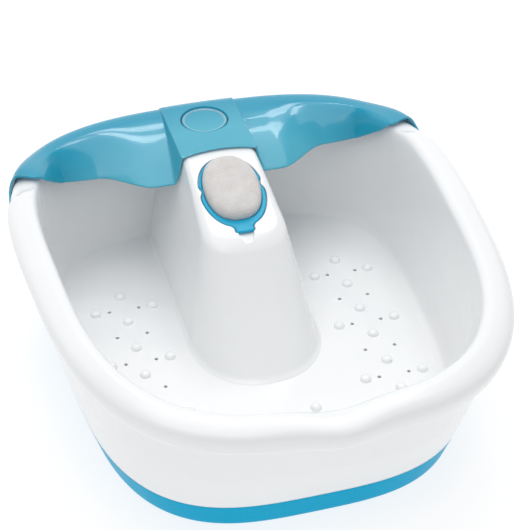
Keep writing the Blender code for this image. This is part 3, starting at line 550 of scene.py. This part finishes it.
def make_console(name, inset):
    """The console with no inset, or the hollow inside it."""
    drop = HOLLOW_DROP if inset else 0.0
    top = console_top(inset, drop)
    radius = mix(0.0064, 0.0040, smoothstep(0.060, 0.112, console_outline(top, inset)[1]))
    rows = [] if inset else console_foot()
    low = np.full(CONSOLE_POINTS, 0.010 if inset else FLOOR_Z + CONSOLE_FILLET)
    rows += console_side(low, top, radius, inset)
    rows += console_shoulder(top, radius, inset, drop)
    rows += console_cap(rows[-1], drop)
    rows = np.array(rows)
    count = CONSOLE_POINTS
    shoulder_end = len(rows) - CAP_STEPS - 1
    faces = strip_faces(len(rows), count, closed=False)
    for row in range(shoulder_end - 1):
        low_at, high_at = row * count, (row + 1) * count
        faces.append((low_at, high_at, high_at + count - 1, low_at + count - 1))
    left = [row * count for row in range(shoulder_end - 1, len(rows))]
    right = [row * count + count - 1 for row in range(shoulder_end - 1, len(rows) - 1)]
    faces.append((*left, *reversed(right)))
    faces.append(tuple(range(count)))
    return mesh_object(name, rows.reshape(-1, 3), faces)


# ---- The face: recess, notch, pumice holder and stone ---------------------------------------

FACE = Matrix.Translation((0.0, HOLDER_Y, face_z(HOLDER_Y))) @ Matrix.Rotation(FACE_TILT, 4, "X")


def rounded(points, passes):
    """Cuts the corners of a closed outline, again and again."""
    points = np.array(points, float)
    for _ in range(passes):
        ahead = np.roll(points, -1, axis=0)
        points = np.stack([points * 0.75 + ahead * 0.25, points * 0.25 + ahead * 0.75], axis=1)
        points = points.reshape(-1, 2)
    return points


def evenly(points, count):
    """The same closed outline as this many points, evenly spaced."""
    closed = np.vstack([points, points[:1]])
    along = np.concatenate([[0.0], np.cumsum(np.linalg.norm(np.diff(closed, axis=0), axis=1))])
    places = np.linspace(0.0, along[-1], count, endpoint=False)
    return np.stack([np.interp(places, along, closed[:, i]) for i in (0, 1)], axis=-1)


def grown(points, by):
    """A closed anticlockwise outline, moved outward."""
    along = np.roll(points, -1, axis=0) - np.roll(points, 1, axis=0)
    along /= np.linalg.norm(along, axis=1, keepdims=True)
    return points + by * np.stack([along[:, 1], -along[:, 0]], axis=-1)


def holder_outline():
    """Two lobes with a waist between them, and a square tab at the lower end."""
    turns = np.linspace(math.radians(-72), math.radians(252), 200)
    waist = 0.0024 * np.exp(-(((np.sin(turns) - 0.10) / 0.11) ** 2))
    half = HOLDER_HALF_WIDTH - waist
    x = half * np.sign(np.cos(turns)) * np.abs(np.cos(turns)) ** 0.86
    y = HOLDER_HALF_LENGTH * np.sin(turns) + HOLDER_UP
    tab = np.array([(-0.0073, -0.0350), (-0.0073, -TAB_END), (0.0073, -TAB_END), (0.0073, -0.0350)])
    points = evenly(np.vstack([np.stack([x, y], axis=-1), tab]), 260)
    return evenly(rounded(points, 3), 320)


def on_face(outline_points, z):
    return joined(outline_points[:, 0], outline_points[:, 1], z)


def make_recess():
    outside = grown(holder_outline(), 0.0006)
    levels = ((0.0, -RECESS_DEPTH), (0.0, -0.0007), (0.00015, -0.0003), (0.0005, 0.0),
              (0.0016, 0.0006), (0.0020, 0.012))
    cutter = loft("holder_recess", [on_face(grown(outside, by), z) for by, z in levels])
    cutter.data.transform(FACE)
    return cutter


def make_notch():
    corners = ((-0.0032, -0.0520), (0.0032, -0.0520), (0.0078, -0.0340), (-0.0078, -0.0340))
    outside = evenly(rounded(evenly(np.array(corners), 16), 3), 96)
    floor = np.interp(outside[:, 1], (-0.0520, -0.0340), (-0.0012, -0.0048))
    levels = ((-0.0010, 0.0), (-0.0003, 0.0003), (0.0, 0.0009))
    rings = [on_face(grown(outside, by), floor + up) for by, up in levels]
    rings += [on_face(grown(outside, by), z) for by, z in ((0.0003, 0.0002), (0.0012, 0.0120))]
    cutter = loft("finger_notch", rings)
    cutter.data.transform(FACE)
    return cutter


def stone_outline(turns, shrink):
    cosine, sine = np.cos(turns), np.sin(turns)
    x = (STONE_HALF_WIDTH - shrink) * np.sign(cosine) * np.abs(cosine) ** 0.86
    y = (STONE_HALF_LENGTH - shrink) * np.sign(sine) * np.abs(sine) ** 0.86
    return np.stack([x, y + STONE_UP], axis=-1)


def make_holder():
    outside = holder_outline()
    turns = np.arctan2(outside[:, 1] - STONE_UP, outside[:, 0])
    base, top = GAP - RECESS_DEPTH, GAP - RECESS_DEPTH + HOLDER_THICK
    rings = [on_face(grown(outside, by), z) for by, z in
             ((-0.0006, base), (0.0, base + 0.0006), (0.0, top - 0.0009), (-0.00012, top - 0.0004),
              (-0.00045, top - 0.0001), (-0.0010, top))]
    rings += [on_face(stone_outline(turns, shrink), z) for shrink, z in
              ((-0.0016, top), (-0.0011, top - 0.0001), (-0.0007, top - 0.0005),
               (-0.0005, top - 0.0010), (-0.0005, POCKET_FLOOR))]
    holder = loft("pumice_tray", rings)
    holder.data.transform(FACE)
    even_shading(holder)
    return holder


def make_stone():
    turns = full_turn(200)
    section = np.array(((0.0000, POCKET_FLOOR + GAP), (0.0000, 0.0030), (0.0006, 0.0052),
                        (0.0022, 0.0072), (0.0050, 0.0085), (0.0100, 0.0093), (0.0170, 0.0096),
                        (0.0205, 0.0096)))
    rings = [on_face(stone_outline(turns, shrink), z) for shrink, z in section]
    rings = smooth_rings(rings, 7)
    stone = loft("pumice_block", rings, sharp=60)
    stone.data.transform(FACE)
    return stone


# ---- Outer body and base pan ----------------------------------------------------------------


def make_outer_body():
    edge = 0.0005
    heights = np.linspace(BAND_TOP + GAP + edge, BODY_TOP - edge, 22)
    low, high = BAND_TOP + GAP, BODY_TOP
    rings = [wall_ring(low, edge), wall_ring(low + edge * 0.3, edge * 0.3)]
    rings += [wall_ring(z, 0.0) for z in heights]
    rings += [wall_ring(high, edge), wall_ring(high, SHELL)]
    rings += [wall_ring(z, SHELL) for z in reversed(heights[::3])]
    rings.append(wall_ring(low, SHELL))
    return loft("body_shell", rings, sharp=50, closed_loop=True)


def make_base_pan():
    edge, corner = 0.0005, 0.0036
    heights = np.linspace(PAN_BOTTOM + corner, BAND_TOP - edge, 8)
    turns = np.radians((0, 22, 45, 68, 90))
    rings = [wall_ring(PAN_BOTTOM, 0.012), wall_ring(PAN_BOTTOM, 0.008)]
    rings += [wall_ring(PAN_BOTTOM + corner * (1 - math.cos(turn)), corner * (1 - math.sin(turn)))
              for turn in turns]
    rings += [wall_ring(z, 0.0) for z in heights[1:]]
    rings += [wall_ring(BAND_TOP - edge * 0.3, edge * 0.3), wall_ring(BAND_TOP, edge),
              wall_ring(BAND_TOP, SHELL), wall_ring(PAN_FLOOR + 0.003, SHELL),
              wall_ring(PAN_FLOOR, SHELL + 0.003)]
    pan = loft("base_tray", rings)
    combine(pan, rod("pan_bosses", 0.006, 0.0032, 0.0092, mirrored(SCREW_SPOTS)), "UNION")
    combine(pan, rod("board_posts", 0.003, 0.0032, 0.0090, mirrored([(0.022, 0.160)])), "UNION")
    boss_place = (GLAND_X, GLAND_FACE_Y - GLAND_BOSS / 2, GLAND_Z)
    boss = brick("gland_boss", (0.024, GLAND_BOSS, 0.0206), boss_place)
    soften(boss, 0.0015, 4)
    combine(pan, boss, "UNION")
    combine(pan, rod("counterbores", 0.0042, 0.0, 0.005, mirrored(SCREW_SPOTS), 40))
    combine(pan, rod("screw_holes", 0.0021, 0.0045, 0.012, mirrored(SCREW_SPOTS), 24))
    foot_places = mirrored([(x, y) for _, x, y in FOOT_SPOTS])
    combine(pan, rod("foot_recesses", FOOT_RADIUS + GAP, 0.0, 0.0031, foot_places, 64))
    gland_hole = rod("gland_hole", 0.0058, -0.020, 0.020, [(0, 0)], 48)
    gland_hole.data.transform(Matrix.Translation((GLAND_X, GLAND_FACE_Y, GLAND_Z))
                              @ Matrix.Rotation(math.pi / 2, 4, "X"))
    combine(pan, gland_hole)
    for slot in range(-3, 4):
        combine(pan, brick("air_slot", (0.003, 0.026, 0.010), (0.007 * slot, BLOWER_Y, 0.002)))
    even_shading(pan)
    return pan


def soften(target, width, segments):
    """Rounds an object's sharp edges."""
    rounding = target.modifiers.new("soften", "BEVEL")
    rounding.width, rounding.segments = width, segments
    rounding.limit_method, rounding.angle_limit = "ANGLE", math.radians(35)
    bake(target)


def make_foot(name, x, y):
    profile = ((0.0, 0.0028), (FOOT_RADIUS - 0.0003, 0.0028), (FOOT_RADIUS, 0.0025),
               (FOOT_RADIUS, 0.0010), (FOOT_RADIUS - 0.0004, 0.0003), (0.0078, 0.0),
               (0.0040, 0.0), (0.0036, 0.0004), (0.0, 0.0004))
    return turned(name, profile, 64, (x, y, 0.0))


def make_gland():
    inner = GLAND_BOSS + GAP
    profile = ((0.0074, inner + 0.0022), (0.0074, inner), (0.0055, inner), (0.0055, -GAP),
               (0.0079, -GAP), (0.0082, -0.0006), (0.0081, -0.0011), (0.0068, -0.0026),
               (0.0063, -0.0028), (0.0037, -0.0028), (0.0034, -0.0025), (0.0036, inner + 0.0022))
    return turned("cord_bush", profile, 64, (GLAND_X, GLAND_FACE_Y, GLAND_Z), math.pi / 2)


# ---- Splash guard ---------------------------------------------------------------------------

GUARD_SECTION = (
    (0.0022, 0.1208),
    (0.0008, 0.1250),
    (0.0000, 0.1310),
    (0.0012, 0.1340),
    (0.0042, 0.1362),
)
REACH_STOPS = ((0.095, 0.03), (0.118, 0.10), (0.127, 0.20), (0.134, 0.39), (0.139, 0.58),
               (0.146, 0.80), (0.156, 0.92), (0.166, 0.98), (0.174, 1.0))
GUARD_END = math.radians(60.3)
CENTRE_HALF = 0.060  # up to here each row of the guard keeps one x
STATIONS, FLAP_STATIONS = 20, 34


def flap_edge_y(x):
    x = np.abs(x)
    over_console = 0.129 - 0.005 * (x / CONSOLE_HALF_TOP) ** 2
    beside = 0.124 + 0.0245 * smoothstep(0.052, 0.096, x) + 0.05 * np.maximum(x - 0.100, 0)
    return np.where(x < CONSOLE_HALF_TOP, over_console, beside)


def inside_wall(x, y):
    side = (RIM_SIDE - FLAP_INSET) * (1 + RIM_TAPER * y / RIM_END)
    across, along = np.abs(x) / side, np.abs(y - CENTRE_Y) / (RIM_END - FLAP_INSET)
    beyond = (across**RIM_INNER_POWER + along**RIM_INNER_POWER) ** (1 / RIM_INNER_POWER)
    shrink = np.maximum(beyond, 1.0)
    return x / shrink, (y - CENTRE_Y) / shrink + CENTRE_Y


def plateau_z(x, half, top):
    """The saddle over the console: a crowned top, a rounded edge and steep flanks."""
    x = np.abs(x)
    crown = PLATEAU_CROWN * (np.minimum(x, PLATEAU_HALF) / PLATEAU_HALF) ** 2
    flank = (x - half) / CONSOLE_DRAFT
    return top - smooth_max(crown, flank, 0.0022)


def guard_rows():
    """The x on the rim's widest ring and the angle of each row, from left to right."""
    centre = np.concatenate([np.arange(0.0, 0.0290, 0.0013), np.arange(0.0292, 0.0380, 0.0002),
                             np.arange(0.0386, CENTRE_HALF, 0.0010)])
    y = rear_y(centre, 0.0) - CENTRE_Y
    centre_turns = np.arctan2(centre / (1 + RIM_TAPER * y / RIM_END), y)
    side_turns = np.arange(centre_turns[-1] + 0.003, GUARD_END, math.radians(0.3))
    turns = np.concatenate([centre_turns, side_turns, [GUARD_END]])
    return np.concatenate([-turns[:0:-1], turns])


def guard_sheet(turns):
    """The guard's outer face without its saddle: points by row and station."""
    angles = math.pi / 2 - turns
    x0, y0 = rim_outline(angles, 0.0)
    spread = smoothstep(CENTRE_HALF, 0.085, np.abs(x0))
    to_rear = smoothstep(0.140, 0.178, y0)
    crest_z = mix(APEX_Z + 0.0007, GUARD_CREST, to_rear)

    def rim_spot(inset):
        x, y = rim_outline(angles, inset)
        near = np.abs(x0) < 0.085
        x = np.where(near, mix(x0, x, spread), x)
        return x, np.where(near, rear_y(x, inset), y)

    keys = []
    for inset, z in GUARD_SECTION:
        lift = (crest_z - 0.0004 - 0.1362) * smoothstep(0.131, 0.1362, z)
        keys.append(joined(*rim_spot(inset - GUARD_PROUD), z + lift))
    crest = joined(*rim_spot(mix(APEX_INSET, 0.0120, to_rear)), crest_z)
    side_x, side_y = rim_outline(angles, FLAP_INSET)
    far = np.maximum(np.abs(x0) - CENTRE_HALF, 0.0)
    edge_x = np.sign(x0) * (np.minimum(np.abs(x0), CENTRE_HALF) + 0.80 * far)
    edge_x, edge_y = inside_wall(edge_x, flap_edge_y(edge_x))
    edge = joined(mix(side_x, edge_x, to_rear), mix(side_y, edge_y, to_rear),
                  mix(0.1185, GUARD_FLAP_Z, to_rear))
    over_rim = smooth_rings([*keys, crest], STATIONS // len(keys))
    flap = []
    for step in range(1, FLAP_STATIONS + 1):
        t = step / FLAP_STATIONS
        across = mix(math.sin(t * math.pi / 2) ** 0.8, t, to_rear)
        down = mix(t**2.2, t**1.5, to_rear)
        flap.append(joined(mix(crest[:, 0], edge[:, 0], across), mix(crest[:, 1], edge[:, 1], across),
                           mix(crest[:, 2], edge[:, 2], down)))
    return np.swapaxes(np.array([*over_rim, *flap]), 0, 1), y0


def cut_rows(sheet, y0):
    """Each row as the same number of stations over only the share that the guard reaches."""
    reach = np.interp(y0, [y for y, _ in REACH_STOPS], [share for _, share in REACH_STOPS])
    for _ in range(6):
        reach[1:-1] = (reach[:-2] + 2 * reach[1:-1] + reach[2:]) / 4
    coarse = len(GUARD_SECTION) + 6  # the CAD measures the reach in its own stations
    over_share = len(GUARD_SECTION) / coarse
    total = sheet.shape[1] - 1
    over_stations = total - FLAP_STATIONS
    made = np.empty_like(sheet)
    for row, share in enumerate(reach):
        if share < over_share:
            last = share / over_share * over_stations
        else:
            last = over_stations + (share - over_share) / (1 - over_share) * FLAP_STATIONS
        places = np.linspace(0.0, last, total + 1)
        for axis in range(3):
            made[row, :, axis] = np.interp(places, np.arange(total + 1), sheet[row, :, axis])
    return made


def make_guard():
    turns = guard_rows()
    full, y0 = guard_sheet(turns)
    sheet = cut_rows(full, y0)
    along = np.gradient(sheet, axis=0)
    down = np.gradient(sheet, axis=1)
    normals = np.cross(along, down)
    normals /= np.maximum(np.linalg.norm(normals, axis=2, keepdims=True), 1e-12)
    normals *= np.sign(normals[len(turns) // 2, sheet.shape[1] // 2, 2])
    outer, inner = sheet.copy(), sheet - normals * GUARD_THICK
    outer[..., 2] = over_saddle(outer, PLATEAU_HALF, PLATEAU_Z)
    inner[..., 2] = over_saddle(inner, PLATEAU_INNER_HALF, PLATEAU_Z - GUARD_THICK)
    first_out = unit_rows(outer[:, 0] - outer[:, 1])
    last_out = unit_rows(outer[:, -1] - outer[:, -2])
    half = GUARD_THICK / 2
    rows = []
    for row in range(len(turns)):
        edge = rounded_edge(outer[row, -1], inner[row, -1], last_out[row] * half)
        foot = rounded_edge(inner[row, 0], outer[row, 0], first_out[row] * half * 0.5)
        rows.append(np.vstack([outer[row], edge, inner[row, ::-1], foot]))
    guard = loft("guard", rows, sharp=60)
    hole = rod("guard_hole", BUTTON_HOLE, 0.125, 0.1362, [(0, BUTTON_Y)], 96)
    lip = rod("guard_hole_lip", BUTTON_HOLE, 0.1362, 0.1382, [(0, BUTTON_Y)], 96, 0.0012)
    combine(hole, lip, "UNION")
    combine(guard, hole)
    shade(guard, 40)
    return guard


def unit_rows(vectors):
    return vectors / np.linalg.norm(vectors, axis=1, keepdims=True)


def over_saddle(points, half, top):
    """Heights with the saddle's added, where the sheet has come up to the crest."""
    z = points[..., 2]
    station = np.arange(points.shape[1])
    fillet = mix(0.002, 0.013, np.clip((station - STATIONS) / FLAP_STATIONS, 0.0, 1.0))
    risen = smooth_max(z, plateau_z(points[..., 0], half, top), fillet[None, :])
    begun = smoothstep(STATIONS * 0.55, STATIONS * 0.95, station)
    return mix(z, risen, begun[None, :])


def rounded_edge(start, end, out):
    """Points round a half-round edge from start to end."""
    middle, arm = (start + end) / 2, (start - end) / 2
    return [middle + arm * math.cos(turn) + out * math.sin(turn)
            for turn in np.radians((36, 72, 108, 144))]


def make_button():
    """A dished disc with a raised ring near its edge."""
    top, dish = BUTTON_TOP, 0.0009
    inner = BUTTON_RADIUS - 0.0015
    lip_in, lip_out = BUTTON_RADIUS - 0.0030, BUTTON_RADIUS - 0.0016
    shares = (0.0, 0.3, 0.6, 0.85, 0.97)
    profile = [(share * lip_in, top - dish * (1 - 0.1 * share**2)) for share in shares]
    for turn in np.radians((0, 30, 60, 90, 120, 150, 180)):
        rise = (1 - math.cos(turn)) / 2
        profile.append((mix(lip_in, lip_out, turn / math.pi), top - 0.9 * dish * (1 - rise)))
    for turn in np.radians((75, 50, 25, 0)):
        profile.append((BUTTON_RADIUS - 0.0007 + 0.0007 * math.cos(turn),
                        top - 0.0007 + 0.0007 * math.sin(turn)))
    profile += [(BUTTON_RADIUS, 0.1330), (inner, 0.1330), (inner, 0.1348), (0.0, 0.1344)]
    return turned("power_button", profile, 96, (0, BUTTON_Y, 0))


# ---- Materials ------------------------------------------------------------------------------

PAINTED_HIGHLIGHT_FINISH = "clear_teal_painted_highlight"  # the button's finish: the guard's, with a pale ring painted over its raised bead as a highlight


class Finish:
    """A material whose colour, roughness and bump vary over the surface, in object space."""

    def __init__(self, name, colour, roughness, metallic=0.0):
        self.material = bpy.data.materials.new(name)
        self.material.use_nodes = True
        self.tree = self.material.node_tree
        self.shader = self.tree.nodes["Principled BSDF"]
        self.shader.inputs["Metallic"].default_value = metallic
        self.place = self.node("ShaderNodeTexCoord").outputs["Object"]
        self.colour = (*colour, 1.0)
        self.roughness = roughness

    def node(self, kind, **values):
        made = self.tree.nodes.new(kind)
        for key, value in values.items():
            if key.startswith("in_"):
                made.inputs[key[3:].replace("_", " ")].default_value = value
            else:
                setattr(made, key, value)
        return made

    def link(self, source, target):
        self.tree.links.new(source, target)

    def set(self, **values):
        for key, value in values.items():
            self.shader.inputs[key.replace("_", " ")].default_value = value

    def noise(self, scale, detail=4.0, stretch=(1, 1, 1)):
        spread = self.node("ShaderNodeMapping", in_Scale=stretch)
        self.link(self.place, spread.inputs["Vector"])
        made = self.node("ShaderNodeTexNoise", in_Scale=scale, in_Detail=detail, in_Roughness=0.6)
        self.link(spread.outputs["Vector"], made.inputs["Vector"])
        return made.outputs["Fac"]

    def cells(self, scale):
        made = self.node("ShaderNodeTexVoronoi", in_Scale=scale)
        self.link(self.place, made.inputs["Vector"])
        return made.outputs["Distance"]

    def ranged(self, source, low, high, to_low, to_high):
        made = self.node("ShaderNodeMapRange", in_From_Min=low, in_From_Max=high, in_To_Min=to_low,
                         in_To_Max=to_high)
        self.link(source, made.inputs["Value"])
        return made.outputs["Result"]

    def math(self, operation, source, value=0.0):
        made = self.node("ShaderNodeMath", operation=operation)
        self.link(source, made.inputs[0])
        made.inputs[1].default_value = value
        return made.outputs["Value"]

    def upright_distance(self, x, y):
        """The distance from the upright axis at x, y."""
        flat = self.node("ShaderNodeMapping", in_Scale=(1, 1, 0))
        self.link(self.place, flat.inputs["Vector"])
        apart = self.node("ShaderNodeVectorMath", operation="DISTANCE")
        apart.inputs[1].default_value = (x, y, 0)
        self.link(flat.outputs["Vector"], apart.inputs[0])
        return apart.outputs["Value"]

    def upright_ring(self, x, y, radius, half_width):
        """1 on a ring about the upright axis at x, y, falling to 0 beside it."""
        off = self.math("ABSOLUTE", self.math("SUBTRACT", self.upright_distance(x, y), radius))
        return self.ranged(off, half_width * 0.4, half_width, 1.0, 0.0)

    def vary_colour(self, source, other, low=0.35, high=0.65):
        """Moves the base colour towards other where source is high."""
        made = self.node("ShaderNodeMix", data_type="RGBA")
        colours = [socket for socket in made.inputs if socket.type == "RGBA"]
        colours[0].default_value = self.colour
        colours[1].default_value = (*other, 1.0)
        before = self.shader.inputs["Base Color"].links
        if before:
            self.link(before[0].from_socket, colours[0])
        self.link(self.ranged(source, low, high, 0.0, 1.0), made.inputs["Factor"])
        out = next(socket for socket in made.outputs if socket.type == "RGBA")
        self.link(out, self.shader.inputs["Base Color"])

    def vary_roughness(self, source, spread):
        self.link(self.ranged(source, 0.3, 0.7, self.roughness - spread, self.roughness + spread),
                  self.shader.inputs["Roughness"])

    def bump(self, source, distance, strength=1.0):
        made = self.node("ShaderNodeBump", in_Distance=distance, in_Strength=strength)
        self.link(source, made.inputs["Height"])
        before = self.shader.inputs["Normal"].links
        if before:
            self.link(before[0].from_socket, made.inputs["Normal"])
        self.link(made.outputs["Normal"], self.shader.inputs["Normal"])


def moulded(name, colour, roughness, shade, grain=170, depth=0.000004):
    """Moulded plastic: a faint ripple, fine grain and slightly uneven gloss."""
    made = Finish(name, colour, roughness)
    made.vary_colour(made.noise(14, 3), shade)
    made.vary_roughness(made.noise(60, 4), 0.04)
    made.bump(made.noise(22, 0), 0.00012, 0.25)
    made.bump(made.noise(grain, 1), depth, 0.3)
    return made


def make_materials():
    white = moulded("white_gloss", (0.91, 0.915, 0.915), 0.225, (0.90, 0.907, 0.91))
    white.set(Coat_Weight=0.2, Coat_Roughness=0.12)
    teal = moulded("teal_gloss", (0.0, 0.42, 0.68), 0.34, (0.0, 0.405, 0.665))
    teal.set(Specular_IOR_Level=0.04)
    cyan = moulded("cyan_gloss", (0.0, 0.42, 0.66), 0.32, (0.01, 0.40, 0.64))
    cyan.set(Specular_IOR_Level=0.35)
    highlight_painted = make_clear_finish("clear_teal_painted_highlight")
    # a pale ring painted over the button's raised bead: a painted highlight where the bead catches the
    # light
    ring = highlight_painted.upright_ring(0.0, BUTTON_Y, BUTTON_RADIUS - 0.0019, 0.0011)
    highlight_painted.vary_colour(ring, (0.42, 0.62, 0.70), 0.0, 1.4)
    black = moulded("black_satin", (0.025, 0.025, 0.027), 0.45, (0.035, 0.035, 0.037), 900, 0.00004)
    grey = moulded("grey_satin", (0.33, 0.34, 0.35), 0.45, (0.30, 0.31, 0.32), 900, 0.00004)
    wire = moulded("wire_cover", (0.03, 0.03, 0.032), 0.5, (0.045, 0.045, 0.05), 1200, 0.00003)
    return {
        "white_plastic": white,
        "teal_plastic": teal,
        "cyan_plastic": cyan,
        "clear_teal": make_clear_finish("clear_teal"),
        PAINTED_HIGHLIGHT_FINISH: highlight_painted,
        "pumice": make_pumice_finish(),
        "black_plastic": black,
        "grey_plastic": grey,
        "circuit_board": make_board_finish(),
        "wire_cover": wire,
        "rubber": make_rubber_finish(),
        "steel": make_metal_finish("steel", (0.56, 0.57, 0.58), 0.36, (0.46, 0.47, 0.49)),
        "brass": make_metal_finish("brass", (0.72, 0.50, 0.20), 0.36, (0.55, 0.37, 0.15)),
        "aluminium": make_metal_finish("aluminium", (0.78, 0.79, 0.80), 0.37, (0.66, 0.67, 0.69)),
    }


def make_clear_finish(name):
    """See-through teal, deeper towards the rim."""
    made = moulded(name, (0.06, 0.46, 0.62), 0.22, (0.07, 0.49, 0.65), depth=0.000003)
    edge = made.ranged(made.upright_distance(0.0, 0.0), 0.160, 0.200, 0.0, 1.0)
    made.vary_colour(edge, (0.0, 0.36, 0.55), 0.0, 1.0)
    made.set(Alpha=0.84, Specular_IOR_Level=0.4, Coat_Weight=0.6, Coat_Roughness=0.03, IOR=1.49)
    made.material.blend_method = "HASHED"
    return made


def make_pumice_finish():
    made = Finish("pumice", (0.66, 0.63, 0.61), 0.92)
    made.vary_colour(made.noise(90, 6), (0.74, 0.72, 0.70), 0.35, 0.65)
    made.vary_colour(made.ranged(made.cells(900), 0.10, 0.30, 1.0, 0.0), (0.40, 0.35, 0.32), 0.0, 1.6)
    made.vary_colour(made.noise(1500, 2), (0.86, 0.85, 0.83), 0.60, 0.72)
    made.vary_roughness(made.noise(300, 3), 0.05)
    made.bump(made.cells(700), 0.00035, 0.6)
    made.bump(made.noise(1800, 4), 0.00025, 0.6)
    return made


def make_rubber_finish():
    made = Finish("rubber", (0.035, 0.035, 0.037), 0.8)
    made.vary_colour(made.noise(120, 5), (0.07, 0.068, 0.065), 0.5, 0.8)
    made.vary_roughness(made.noise(200, 3), 0.08)
    made.bump(made.noise(1500, 3), 0.00006, 0.5)
    return made


def make_metal_finish(name, colour, roughness, shade):
    made = Finish(name, colour, roughness, 1.0)
    made.vary_colour(made.noise(90, 5), shade, 0.45, 0.75)
    made.vary_roughness(made.noise(400, 4, (1, 1, 0.05)), 0.08)
    made.bump(made.noise(1200, 3, (1, 1, 0.04)), 0.00003, 0.4)
    return made


def make_board_finish():
    made = Finish("circuit_board", (0.015, 0.16, 0.06), 0.4)
    made.vary_colour(made.ranged(made.cells(260), 0.0, 0.55, 0.0, 1.0), (0.03, 0.26, 0.10), 0.2, 0.8)
    made.vary_roughness(made.noise(150, 3), 0.08)
    made.bump(made.cells(260), 0.00003, 0.4)
    return made


# ---- Pieces ---------------------------------------------------------------------------------


def dress(made, body, slot, *nodes):
    """A finished piece that stands for these CAD nodes."""
    # the toe button gets the guard's finish with the painted highlight ring
    finish = PAINTED_HIGHLIGHT_FINISH if "toe_button" in nodes else slot
    made.data.materials.clear()
    made.data.materials.append(FINISHES[finish].material)
    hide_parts(*nodes)
    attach(made, body)


def finish_cad_nodes(replaced):
    slots = {part["node"]: part["material_slot"] for part in frame["record"]["subparts"]}
    for name, node in frame["nodes"].items():
        if name in replaced:
            continue
        node.data.materials.clear()
        node.data.materials.append(FINISHES[slots[name]].material)
        shade(node)


def make_pieces():
    pieces = [
        (make_tub(), "basin", "white_plastic", "basin_tub"),
        (make_outer_body(), "basin", "white_plastic", "outer_body"),
        (make_base_pan(), "basin", "teal_plastic", "base_pan"),
        (make_guard(), "basin", "clear_teal", "splash_guard"),
        (make_gland(), "basin", "rubber", "cord_gland"),
        (make_button(), "button", "clear_teal", "toe_button"),
        (make_holder(), "pumice", "cyan_plastic", "pumice_holder"),
        (make_stone(), "pumice", "pumice", "pumice_stone"),
    ]
    for row, x, y in FOOT_SPOTS:
        for side, sign in (("left", -1), ("right", 1)):
            foot = make_foot(f"foot_pad_{row}_{side}", sign * x, y)
            pieces.append((foot, "basin", "rubber", f"foot_{row}_{side}"))
    for piece in pieces:
        dress(*piece)
    finish_cad_nodes({piece[3] for piece in pieces})


# ---- Floor, light and camera ----------------------------------------------------------------


def make_floor():
    """A wide plain floor whose rear curves up into a backdrop."""
    half, bend_y = 3.0, 2.0
    xs = np.linspace(-half, half, 13)
    section = [(-half, 0.0), (0.0, 0.0), (bend_y, 0.0)]
    for turn in np.radians(np.arange(10, 91, 10)):
        section.append((bend_y + math.sin(turn), 1.0 - math.cos(turn)))
    section.append((half, 3.5))
    points = [(x, y, z) for y, z in section for x in xs]
    floor = mesh_object("floor", points, strip_faces(len(section), len(xs), closed=False))
    floor.data.transform(Matrix.Translation((0, 0, -0.0001)))
    pale = Finish("floor", (0.22, 0.22, 0.22), 0.6)
    pale.vary_colour(pale.noise(3, 2), (0.21, 0.21, 0.21))
    pale.vary_roughness(pale.noise(8, 2), 0.05)
    pale.set(Emission_Color=(1.0, 1.0, 1.0, 1.0), Emission_Strength=0.81)
    floor.data.materials.append(pale.material)


def make_lamp(name, place, aim, size, power):
    data = bpy.data.lights.new(name, "AREA")
    data.shape = "RECTANGLE"
    data.size, data.size_y = size
    data.energy = power
    lamp = bpy.data.objects.new(name, data)
    bpy.context.scene.collection.objects.link(lamp)
    lamp.location = place
    lamp.rotation_euler = (Vector(aim) - Vector(place)).to_track_quat("-Z", "Y").to_euler()


def make_lights():
    """A wide soft light above, a weak one in front, and pairs of windows that the guard mirrors."""
    make_lamp("overhead", (-0.1, 0.10, 1.6), (0, 0.02, 0.1), (1.7, 1.2), 9)
    make_lamp("front", (-0.45, -1.0, 1.75), (0, 0.05, 0.08), (1.0, 1.0), 1.2)
    for side, x, y in (("left", 0.46, 0.86), ("right", 0.12, 1.03)):
        for number, rise in enumerate((0.0, 0.17)):
            place = (x, y - rise, 1.32 + rise)
            make_lamp(f"window_{side}_{number}", place, (0.0, 0.17, 0.13), (0.24, 0.14), 0.9)
    world = bpy.data.worlds.new("studio")
    world.use_nodes = True
    sky = world.node_tree.nodes["Background"]
    sky.inputs["Color"].default_value = (0.96, 0.975, 1.0, 1.0)
    sky.inputs["Strength"].default_value = 0.58
    bpy.context.scene.world = world
    bpy.context.scene.view_settings.view_transform = "Standard"


CAMERA_AIM = Vector((0.0, 0.002, 0.1015))
CAMERA_AZIMUTH = math.radians(-15.56)
CAMERA_ELEVATION = math.radians(37.92)
CAMERA_DISTANCE = 1.147


def make_camera():
    data = bpy.data.cameras.new("camera")
    data.lens = 103.8
    data.sensor_width = 36.0
    data.shift_x, data.shift_y = -0.0056, 0.0236
    data.clip_start, data.clip_end = 0.05, 20.0
    camera = bpy.data.objects.new("camera", data)
    bpy.context.scene.collection.objects.link(camera)
    level = math.cos(CAMERA_ELEVATION)
    back = Vector((math.sin(CAMERA_AZIMUTH) * level, -math.cos(CAMERA_AZIMUTH) * level,
                   math.sin(CAMERA_ELEVATION)))
    camera.location = CAMERA_AIM + back * CAMERA_DISTANCE
    camera.rotation_euler = (-back).to_track_quat("-Z", "Y").to_euler()
    bpy.context.scene.camera = camera


FINISHES = make_materials()
make_pieces()
make_floor()
make_lights()
make_camera()
